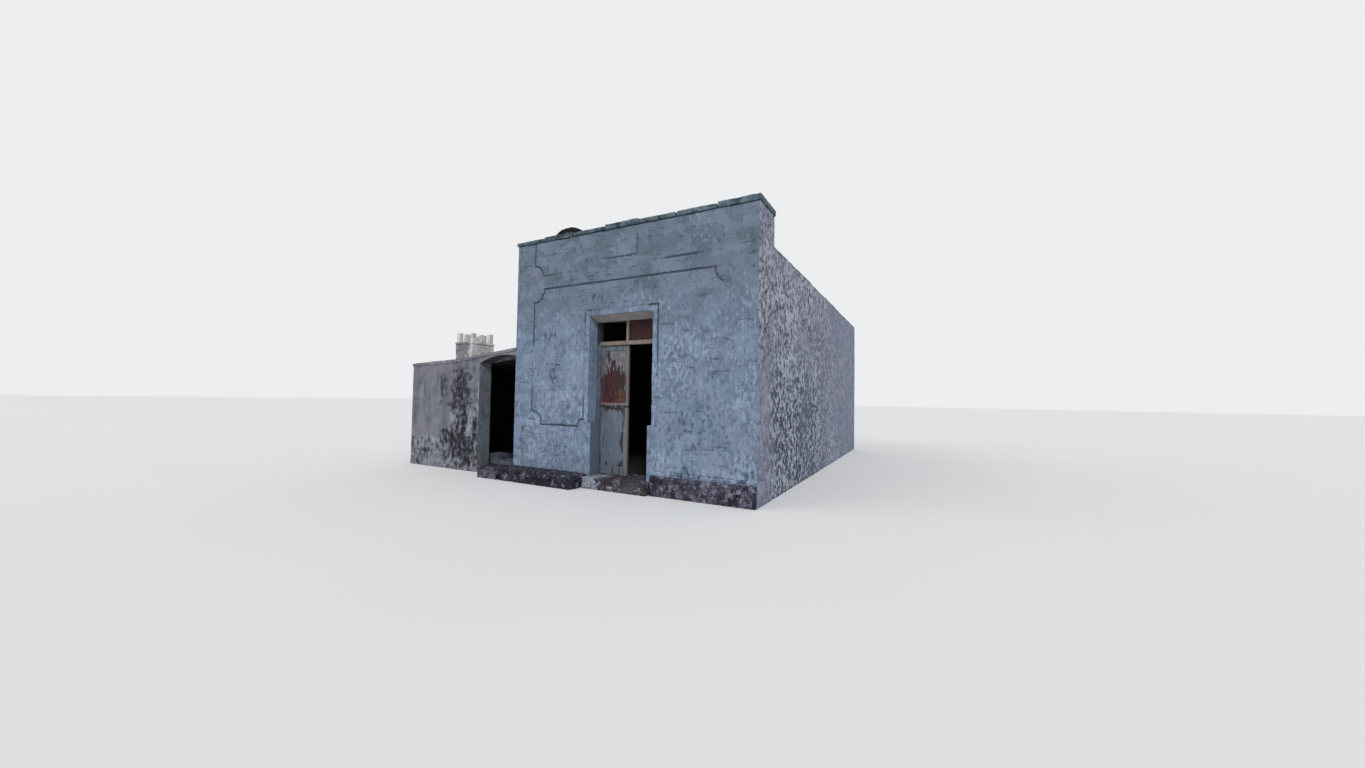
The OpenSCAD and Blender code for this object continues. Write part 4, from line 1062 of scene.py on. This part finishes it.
def rubble_tree():
    """A block of rough masonry: a box whose faces break into stones with sunken joints."""
    tree, given = new_tree("rubble_block", Vector=["Low", "High"], Material=["Material"], Float=[
        "Grain", "Stone", "Flatten", "Joint", "Rough", "Round", "Seed"])
    low, high, radius, seed = (given[key] for key in ("Low", "High", "Round", "Seed"))
    size = add(tree, "v-", high, low)
    middle = add(tree, "v*", ("v+", high, low), (0.5, 0.5, 0.5))
    sides = add(tree, "xyz", size)
    cube = add(tree, "GeometryNodeMeshCube", {"Size": size, **{
        "Vertices " + axis: ("+", ("/", sides[axis], given["Grain"]), 2.0) for axis in "XYZ"}})["Mesh"]
    position = add(tree, "GeometryNodeInputPosition")[0]
    # Rounds the block's arrises: the position is pulled towards a smaller box's surface.
    inner = add(tree, "v-", ("v*", size, (0.5, 0.5, 0.5)), ("vector", radius, radius, radius))
    near = add(tree, "vmax", ("vmin", position, inner), ("v*", inner, (-1.0, -1.0, -1.0)))
    rounded = add(tree, "v+", near, ("scale", ("unit", ("v-", position, near)), radius))
    shaped = add(tree, "GeometryNodeSetPosition", {"Geometry": cube, "Position": rounded})[0]
    placed = add(tree, "moved", shaped, middle)
    where = add(tree, "v*+", position, ("vector", 1.0, 1.0, given["Flatten"]), ("vector", seed, 3.7, seed))
    # A stone's own shape: features of 143 mm and 71 mm
    wobble = add(tree, "ShaderNodeTexNoise", {
        "Vector": where, "Scale": 7.0, "Detail": 4.0, "Roughness": 0.65})
    bent = add(tree, "v+", where, ("v*", wobble["Color"], (0.16, 0.16, 0.16)))
    edge = add(tree, "ShaderNodeTexVoronoi", {"Vector": bent, "Scale": ("/", 1.0, given["Stone"])},
               feature="DISTANCE_TO_EDGE")[0]
    # Lime and earth close about half of the joints.
    joint = add(tree, "*", ("step", edge, 0.0, 0.14, 1.0, 0.0), ("step", wobble[0], 0.44, 0.56))
    uneven = add(tree, "noise", where, 14.0, 4.0)
    sunk = add(tree, "+", ("*", joint, given["Joint"]), ("*", uneven, given["Rough"]))
    push = add(tree, "scale", add(tree, "GeometryNodeInputNormal")[0], ("*", sunk, -1.0))
    stored = add(tree, "GeometryNodeStoreNamedAttribute", {
        "Geometry": ("moved", placed, push), "Name": "hollow", "Value": joint},
        data_type="FLOAT", domain="POINT")[0]
    return end_tree(tree, stored, given)


RUBBLE = rubble_tree()


def stone_block(name, node, material, grain, stone, flatten, joint, rough, roundness, seed):
    """Stones in place of a solid, within its box; the foot stays flat on what carries it."""
    low, high = (tuple(corner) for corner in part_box(node))
    mesh = grow(RUBBLE, Low=low, High=high, Grain=grain, Stone=stone, Flatten=flatten, Joint=joint,
                Rough=rough, Round=roundness, Seed=seed, Material=material)
    co = points_of(mesh)
    co[co[:, 2] < low[2] + rough + joint + 0.002, 2] = low[2]
    mesh.vertices.foreach_set("co", co.ravel())
    mesh.name = name
    mesh.shade_smooth()
    return place_piece(name, mesh, "house", [node])


# Name, solid, material, then grain, stone, flatten, joint, rough, roundness and seed.
for name, node, material, *sizes in (
        ("rubble_bench", "stone_bench", BENCH_STONE, 0.017, 0.11, 0.8, 0.030, 0.020, 0.045, 2.0),
        ("rubble_base_course", "base_course", BASE_STONE, 0.016, 0.13, 1.0, 0.018, 0.020, 0.014, 5.0),
        ("rubble_annex_step", "annex_step", BASE_STONE, 0.017, 0.12, 0.8, 0.030, 0.018, 0.035, 9.0),
        ("worn_threshold", "door_threshold", SILL_STONE, 0.022, 0.9, 0.5, 0.004, 0.012, 0.014, 12.0)):
    stone_block(name, node, material, *sizes)


def join_meshes(meshes):
    """One mesh from several, with their materials and the field that marks sunken joints."""
    points, polygons, hollow = [], [], []
    for mesh in meshes:
        start = sum(len(p) for p in points)
        points.append(points_of(mesh))
        polygons += [tuple(n + start for n in face.vertices) for face in mesh.polygons]
        values = np.zeros(len(mesh.vertices), np.float32)
        if "hollow" in mesh.attributes:
            mesh.attributes["hollow"].data.foreach_get("value", values)
        hollow.append(values)
        bpy.data.meshes.remove(mesh)
    return np.concatenate(points), polygons, {"hollow": np.concatenate(hollow)}


def stones_piece(name, boxes, material, nodes, slot="bare_stone", **how):
    """Several rough stones in one piece, each from its own box."""
    how = {"Grain": 0.02, "Stone": 0.5, "Flatten": 1.0, "Joint": 0.003, "Rough": 0.012, "Round": 0.014, **how}
    points, polygons, fields = join_meshes([
        grow(RUBBLE, Low=low, High=high, Seed=3.3 * n + 1.7, Material=material, **how)
        for n, (low, high) in enumerate(boxes)])
    return make_piece(name, points, polygons, material, fields, slot=slot, nodes=nodes, sharp=60)


def coping_boxes():
    """Each coping slab's box, read off the solid, whose slabs stand at their own heights."""
    corners = points_of(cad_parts["parapet_coping"].data)
    xs = np.unique(np.round(corners[:, 0], 3))
    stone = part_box("coping_dome_stone")[1]
    boxes = []
    for x0, x1 in zip(xs[0::2], xs[1::2]):
        mine = corners[(corners[:, 0] > x0 - 0.002) & (corners[:, 0] < x1 + 0.002)]
        top = mine.max(axis=0) + (0, 0, 0 if x0 < stone.x < x1 else 0.006)
        boxes.append((tuple(float(c) for c in mine.min(axis=0)), tuple(float(c) for c in top)))
    return boxes


stones_piece("coping_slabs", coping_boxes(), COPING_STONE, ["parapet_coping"], Rough=0.016, Round=0.016)
step_low, step_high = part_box("annex_inner_steps")
half_way = (step_low.x + step_high.x) / 2
stones_piece("inner_steps", [(tuple(step_low), (half_way, step_high.y, step_high.z)),
                             ((half_way, step_low.y, step_low.z),
                              (step_high.x, step_high.y, (step_low.z + step_high.z) / 2))],
             STEP_STONE, ["annex_inner_steps"], Grain=0.03, Joint=0.01)


def round_backed_stone():
    """The low black stone on the coping: an arched back, rough ends and a flat bed."""
    low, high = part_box("coping_dome_stone")
    low_z = low.z + 0.002
    half, rise = (high.x - low.x) / 2, high.z - low_z
    across, along = np.linspace(-half, half, 33), np.linspace(low.y - 0.006, high.y - 0.004, 17)
    arch = np.column_stack([across, rise * (1 - np.abs(across / half) ** 2.5)])
    ring = np.concatenate([arch, np.column_stack([across[-2:0:-1], across[-2:0:-1] * 0])])
    count = len(ring)
    points = np.array([((low.x + high.x) / 2 + x, y, low_z + z) for y in along for x, z in ring])
    on_top = (points[:, 2] > low_z + 1e-4).astype(float)
    pinch = 1 - 0.10 * smooth(np.abs(points[:, 1] - along.mean()), 0.10, 0.18)
    points[:, 2] = low_z + (points[:, 2] - low_z) * pinch
    lumps = 0.5 + 0.5 * noise(points, 0.10, 301, 3)
    points[:, 2] -= on_top * 0.014 * lumps * smooth(points[:, 2], low_z, low_z + 0.03)
    points[:, 1] += 0.004 * noise(points, 0.06, 302, 2)
    polygons = [(r + c, r + count + c, r + count + (c + 1) % count, r + (c + 1) % count)
                for r in range(0, (len(along) - 1) * count, count) for c in range(count)]
    polygons += [tuple(range(count)), tuple(reversed(range(len(points) - count, len(points))))]
    make_piece("round_backed_stone", points, polygons, DOME_STONE, slot="bare_stone",
               nodes=["coping_dome_stone"], sharp=50)


round_backed_stone()


# ---- Slabs laid on the roofs
def paving_tree():
    """Rows of flat stones with open joints; each is a small block with eased arrises, a little
    out of level."""
    tree, given = new_tree("laid_slabs", Int=["Seed"], Material=["Material"], Float=[
        "Length", "Width", "Slab Length", "Slab Width", "Thickness"])
    whole, slab = (given["Length"], given["Width"]), (given["Slab Length"], given["Slab Width"])
    grid = add(tree, "GeometryNodeMeshGrid", {
        "Size X": ("-", whole[0], slab[0]), "Size Y": ("-", whole[1], slab[1]),
        "Vertices X": ("/", whole[0], slab[0]), "Vertices Y": ("/", whole[1], slab[1])})["Mesh"]
    spots = add(tree, "GeometryNodeMeshToPoints", {"Mesh": grid})[0]
    block = add(tree, "GeometryNodeMeshCube", {"Size": (
        "vector", ("-", slab[0], SLAB_JOINT), ("-", slab[1], SLAB_JOINT), given["Thickness"])})["Mesh"]
    eased = add(tree, "GeometryNodeSubdivisionSurface", {"Mesh": block, "Level": 2, "Edge Crease": 0.86})[0]
    turn, growth = (
        add(tree, "FunctionNodeRandomValue", {"Min": low, "Max": high, "Seed": given["Seed"]},
            data_type="FLOAT_VECTOR")[0]
        for low, high in (((-0.012, -0.016, -0.020), (0.012, 0.016, 0.020)),
                          ((0.96, 0.96, 0.8), (1.01, 1.01, 1.3))))
    laid = add(tree, "GeometryNodeInstanceOnPoints", {
        "Points": spots, "Instance": eased, "Rotation": turn, "Scale": growth})[0]
    return end_tree(tree, laid, given)


SLAB_JOINT = 0.010
PAVING = paving_tree()


def lay_slabs(name, x0, x1, y0, y1, slab, level, seed):
    """Slabs over a rectangle; level(x) gives the height of the bed under them."""
    long, wide = x1 - x0, y1 - y0
    mesh = grow(PAVING, **{"Length": long, "Width": wide, "Slab Length": long / round(long / slab[0]),
                           "Slab Width": wide / round(wide / slab[1]), "Thickness": 0.020, "Seed": seed,
                           "Material": PAVING_STONE})
    points, polygons, fields = join_meshes([mesh])
    points = points.astype(float)
    points += np.array([(x0 + x1) / 2, (y0 + y1) / 2, 0.0])
    points[:, 2] += level(points[:, 0])
    return make_piece(name, points, polygons, PAVING_STONE, fields, slot="stone_slabs", sharp=60)


deck_low, deck_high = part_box("roof_deck")
lay_slabs("roof_slabs", deck_low.x + 0.01, deck_high.x - 0.01, deck_low.y + 0.02, deck_high.y - 0.01,
          (0.42, 0.31), lambda x: deck_high.z + 0.002, 3)
for side, x0, x1, seed in (("left", roof_low.x + 0.02, BEND_X, 7), ("right", BEND_X, LEFT - 0.015, 8)):
    lay_slabs("annex_roof_slabs_" + side, x0, x1, roof_low.y + 0.012, roof_high.y - 0.01, (0.40, 0.32),
              lambda x: annex_top(x) + 0.001, seed)


# ---- The chimney
shaft_low, shaft_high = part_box("chimney_shaft")
FLUE_X, FLUE_Y = (shaft_low.x + shaft_high.x) / 2, (shaft_low.y + shaft_high.y) / 2


def square_ring(name, section, per_side, wobble, nodes=(), follow_roof=False):
    """Lime round the chimney: section is a closed loop of (half width, height, wobble share)."""
    turn = np.linspace(-1, 1, per_side, endpoint=False)
    one = np.ones(per_side)
    plan = np.concatenate([np.column_stack([turn, -one]), np.column_stack([one, turn]),
                           np.column_stack([-turn, one]), np.column_stack([-one, -turn])])
    around = len(plan)
    points, shares = [], []
    for half, height, share in section:
        xy = plan * half
        z = np.full(around, height)
        if follow_roof:
            z = z + annex_top(FLUE_X + xy[:, 0])
        points.append(np.column_stack([FLUE_X + xy[:, 0], FLUE_Y + xy[:, 1], z]))
        shares.append(np.full(around, share))
    points, shares = np.concatenate(points), np.concatenate(shares)
    out = points - np.array([FLUE_X, FLUE_Y, 0])
    out[:, 2] = 0
    out /= np.abs(out).max(axis=1)[:, None]
    push = shares * (wobble * noise(points, 0.09, 401, 3) + wobble * 0.5 * noise(points, 0.035, 402))
    points = points + out * push[:, None]
    points[:, 2] += shares * wobble * 0.8 * noise(points, 0.07, 403, 2)
    rows = len(section)
    polygons = []
    for r in range(rows):
        for c in range(around):
            d, q = (c + 1) % around, (r + 1) % rows
            polygons.append((r * around + c, r * around + d, q * around + d, q * around + c))
    return make_piece(name, points, polygons, LIMES["chimney"], chimney_fields(points), nodes=nodes, sharp=60)


def chimney_fields(points):
    """Painted shade on the front and left, grey; painted light on the right, warm and pale."""
    lit_side = smooth(points[:, 0] - FLUE_X, 0.12, 0.22)
    return {"wear": 0.30 - 0.08 * lit_side + 0.25 * noise(points, 0.08, 411, 3),
            "stain": 0.12 - 0.06 * lit_side + 0.2 * noise(points, 0.09, 412, 3),
            "cast": np.clip(0.95 - 0.9 * lit_side + 0.2 * noise(points, 0.2, 413), 0, 1),
            "rough": 0.45 + 0.3 * noise(points, 0.15, 414)}


# The coat on the shaft, the lime round its foot and the ledge, as sections from the foot up.
SKIN, FLAUNCH, FLUE_HALF, UPRIGHT = 0.007, 0.10, 0.12, 0.09
shaft_half = (shaft_high.x - shaft_low.x) / 2
shaft_top = shaft_high.z - 0.001
foot_z = float(annex_top(np.array([FLUE_X - shaft_half]))[0])
section = [(shaft_half + SKIN, foot_z + t * (shaft_top - foot_z), 1.0) for t in np.linspace(0, 1, 22)]
section += [(shaft_half - 0.004, shaft_top, 0.0), (shaft_half - 0.004, foot_z, 0.0)]
square_ring("limewash_chimney", section, 26, 0.006)
section = [(shaft_half + FLAUNCH - 0.092 * t, 0.006 + 0.085 * t * t, 0.7) for t in np.linspace(0, 1, 7)]
section += [(shaft_half + 0.001, 0.09, 0.0), (shaft_half + 0.001, 0.0, 0.0), (shaft_half + FLAUNCH, 0.0, 0.0)]
square_ring("chimney_flaunching", section, 26, 0.012, follow_roof=True)
ledge_low, ledge_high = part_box("chimney_ledge")
low_z, high_z = ledge_low.z, ledge_high.z
half = (ledge_high.x - ledge_low.x) / 2
section = [(half - 0.004, low_z + 0.003, 0.5), (half, low_z + 0.012, 1.0), (half, (low_z + high_z) / 2, 1.0),
           (half, high_z - 0.012, 1.0), (half - 0.010, high_z - 0.002, 1.0),
           ((half + FLUE_HALF) / 2, high_z, 0.6), (FLUE_HALF, high_z, 0.1), (FLUE_HALF, low_z, 0.1)]
square_ring("chimney_ledge_stones", section, 28, 0.005, ["chimney_ledge"])


def upright_boxes():
    """Eight stones, a little uneven in height, on the sides and corners of the ledge."""
    low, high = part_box("chimney_uprights")
    xs = (low.x, FLUE_X - UPRIGHT / 2, high.x - UPRIGHT)
    ys = (low.y, FLUE_Y - UPRIGHT / 2, high.y - UPRIGHT)
    return [((x, y, low.z - 0.002), (x + UPRIGHT, y + UPRIGHT, high.z - 0.012 * ((3 * i + 5 * j) % 4)))
            for i, x in enumerate(xs) for j, y in enumerate(ys) if (i, j) != (1, 1)]


stones_piece("chimney_upright_stones", upright_boxes(), LIMES["chimney"], ["chimney_uprights"],
             slot="lime_plaster", Grain=0.012, Joint=0.0, Rough=0.008, Round=0.006)

# The front edge of the annex roof, under the limewash
coat("limewash_roof_edge", (roof_low.x, roof_low.y, 0), "front",
     [0.0, BEND_X - roof_low.x, LEFT - roof_low.x], [0.0, EAVE_T], 0.0125,
     rough_relief(260, 0.4, 0.15, 0.10, lambda u, v: 0.8 * smooth(1.9 - u, 0, 0.4), lift=0.003),
     LIMES["annex_wall"], warp=lambda u, v: (u, v - EAVE_T + annex_top(roof_low.x + u)))


# ---- Small parts of the door
def bead_tree():
    """A bead that runs round a rectangle with mitred corners."""
    tree, given = new_tree("panel_bead", Float=["Width", "Height", "Size"], Material=["Material"])
    path = add(tree, "GeometryNodeCurvePrimitiveQuadrilateral",
               {"Width": given["Width"], "Height": given["Height"]})[0]
    profile = add(tree, "GeometryNodeCurvePrimitiveCircle", {"Radius": given["Size"], "Resolution": 8})[0]
    bead = add(tree, "GeometryNodeCurveToMesh", {"Curve": path, "Profile Curve": profile})[0]
    return end_tree(tree, bead, given)


def nail_tree():
    """A row of round nail heads, flattened by the hammer."""
    tree, given = new_tree("nail_heads", Float=["Length", "Radius"], Int=["Count"], Material=["Material"])
    line = add(tree, "GeometryNodeMeshLine", {"Count": given["Count"], "Offset": (
        "vector", ("/", given["Length"], ("-", given["Count"], 1.0)))})[0]
    head = add(tree, "GeometryNodeMeshUVSphere", {"Segments": 8, "Rings": 5, "Radius": given["Radius"]})[0]
    flat = add(tree, "GeometryNodeTransform", {"Geometry": head, "Scale": (1.0, 0.45, 1.0)})[0]
    row = add(tree, "GeometryNodeInstanceOnPoints", {"Points": line, "Instance": flat})[0]
    return end_tree(tree, row, given)


BEAD, NAILS = bead_tree(), nail_tree()
BEAD_SIZE = 0.006
PIN_Y = -3.8657       # where the hinge axes stand
# The straps: their middles' heights, the first nail's place and the length of the row.
STRAPS, NAIL_START, NAIL_ROW = (LEAF_LOW + 0.27, LEAF_HIGH - 0.32), (0.045, -0.0073), 0.26


def on_leaf(points, leaf):
    """Places points drawn in a leaf's own frame where the leaf stands at rest."""
    turn = math.radians(LEAVES[leaf]["turn"])
    px, py = points[:, 0] * LEAVES[leaf]["hand"], points[:, 1]
    return np.column_stack([LEAVES[leaf]["axis_x"] + px * math.cos(turn) - py * math.sin(turn),
                            PIN_Y + px * math.sin(turn) + py * math.cos(turn), points[:, 2]])


def leaf_piece(name, leaf, parts, material, slot):
    """Joins meshes drawn flat, each moved to (x, y, z) in the leaf's frame and stood upright."""
    points, polygons = [], []
    for mesh, (x, y, z) in parts:
        flat, faces, _ = join_meshes([mesh])
        start = sum(len(p) for p in points)
        points.append(np.column_stack([flat[:, 0] + x, flat[:, 2] + y, flat[:, 1] + z]))
        polygons += [tuple(n + start for n in reversed(face)) for face in faces]
    points = on_leaf(np.concatenate(points).astype(float), leaf)
    if LEAVES[leaf]["hand"] < 0:
        polygons = [tuple(reversed(face)) for face in polygons]
    return make_piece(name, points, polygons, material, body=leaf, slot=slot, sharp=50)


for leaf, sizes in LEAVES.items():
    beads, wide = [], sizes["wide"]
    for z0, z1 in ((LEAF_LOW + FOOT_RAIL, MID_RAIL[0]), (MID_RAIL[1], LEAF_HIGH - LEAF_STILE)):
        for y in (PANEL_FACES[0] - 0.002, PANEL_FACES[1] + 0.002):
            mesh = grow(BEAD, Width=wide - 2 * LEAF_STILE - BEAD_SIZE, Height=z1 - z0 - BEAD_SIZE,
                        Size=BEAD_SIZE, Material=LEAF_TIMBER[leaf])
            beads.append((mesh, (wide / 2, y, (z0 + z1) / 2)))
    leaf_piece(leaf + "_beads", leaf, beads, LEAF_TIMBER[leaf], "weathered_wood")
    heads = [(grow(NAILS, Length=NAIL_ROW, Count=4, Radius=0.007, Material=IRON), (*NAIL_START, z))
             for z in STRAPS]
    leaf_piece(leaf + "_nails", leaf, heads, IRON, "wrought_iron")


# ---- Materials of the solids that show as they are
FINISHES = {
    # Painted shade: the inner walls, vault and floor take the near-black lime that stands for the dark room.
    LIMES["painted_shade_room"]: ["left_side_wall", "right_side_wall", "back_wall", "barrel_vault", "roof_fill",
                           "room_floor", "annex_left_wall", "annex_back_wall"],
    ANNEX_ROOF: ["annex_roof"],
    LIMES["reveal"]: ["front_wall_left", "front_wall_right", "front_wall_over_door"],
    LIMES["rough_wall"]: ["parapet_wall"],
    LIMES["soffit"]: ["door_lintel"],
    LIMES["annex_wall"]: ["annex_front_wall"],
    LIMES["annex_arch"]: ["annex_arch"],
    LIMES["facade"]: ["jamb_plinth_left", "jamb_plinth_right"],
    LIMES["chimney"]: ["chimney_shaft"],
    PAVING_STONE: ["roof_deck"],
    BENCH_STONE: ["annex_floor"],
    FRAME_TIMBER: ["door_frame"],
    TRANSOM_TIMBER: ["transom_bar", "fanlight_mullion"],
    LEAF_TIMBER["left_leaf"]: ["left_leaf_frame"],
    LEAF_TIMBER["right_leaf"]: ["right_leaf_frame"],
    LEAF_PANELS["left_leaf"]: ["left_leaf_panels"],
    LEAF_PANELS["right_leaf"]: ["right_leaf_panels"],
    RED_BOARD: ["fanlight_board"],
    IRON: ["frame_hinge_pins", "left_leaf_hinges", "right_leaf_hinges"],
}
for material, names in FINISHES.items():
    for name in names:
        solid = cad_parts[name]
        solid.data.materials.clear()
        solid.data.materials.append(material)


# ---- Camera, light and floor
LENS, EYE, YAW_PITCH_ROLL = 12.104, (5.5885, -9.804, 1.396), (28.210, 1.847, 0.930)
# Lamps: name, strength, angle and turn, in degrees.
LAMPS = (("key", 1.5, 14.0, (52.0, 0.0, 38.0)), ("fill", 0.5, 40.0, (60.0, 0.0, -50.0)))


def set_camera():
    """A very wide lens at eye height, right of the front, turned to the left and a little up."""
    data = bpy.data.cameras.new("camera")
    data.sensor_width = 36.0
    data.lens = LENS
    data.clip_end = 500.0
    yaw, pitch, roll = (math.radians(a) for a in YAW_PITCH_ROLL)
    camera = new_object("camera", data)
    camera.matrix_world = (Matrix.Translation(EYE) @ Matrix.Rotation(yaw, 4, "Z")
                           @ Matrix.Rotation(math.pi / 2 + pitch, 4, "X") @ Matrix.Rotation(roll, 4, "Z"))
    bpy.context.scene.camera = camera


def set_light():
    """A white room for the light, a pale backdrop for the camera, and two lamps."""
    world = bpy.data.worlds.new("studio")
    bpy.context.scene.world = world
    world.use_nodes = True
    tree = world.node_tree
    tree.nodes.clear()
    path = add(tree, "ShaderNodeLightPath")
    seen = add(tree, "max", ("max", path["Is Camera Ray"], path["Is Glossy Ray"]),
               path["Is Transmission Ray"])
    light = add(tree, "ShaderNodeBackground", {"Color": "#ffffff", "Strength": 0.62})[0]
    shown = add(tree, "ShaderNodeBackground", {"Color": "#eceef0", "Strength": 1.0})[0]
    add(tree, "ShaderNodeOutputWorld", {
        "Surface": add(tree, "ShaderNodeMixShader", {0: seen, 1: light, 2: shown})[0]})
    for name, strength, angle, turn in LAMPS:
        data = bpy.data.lights.new(name, "SUN")
        data.energy = strength
        data.angle = math.radians(angle)
        new_object(name, data).rotation_euler = [math.radians(a) for a in turn]


def set_floor():
    mesh = bpy.data.meshes.new("floor")
    far = 150.0
    mesh.from_pydata([(-far, -far, 0), (far, -far, 0), (far, far, 0), (-far, far, 0)], [], [(0, 1, 2, 3)])
    material, tree, where = new_material("studio_floor", 0.9, 0.1)
    colour = add(tree, "mix", ("noise", where, 1000 / 4000, 1.0, 0.55), "#dfe0e1", "#e3e4e5")
    mesh.materials.append(finish(material, colour, ("noise", where, 1000 / 300, 3.0, 0.55), 0.0005))
    floor = new_object("floor", mesh)


set_camera()
set_light()
set_floor()
view = bpy.context.scene.view_settings
view.view_transform = "Standard"
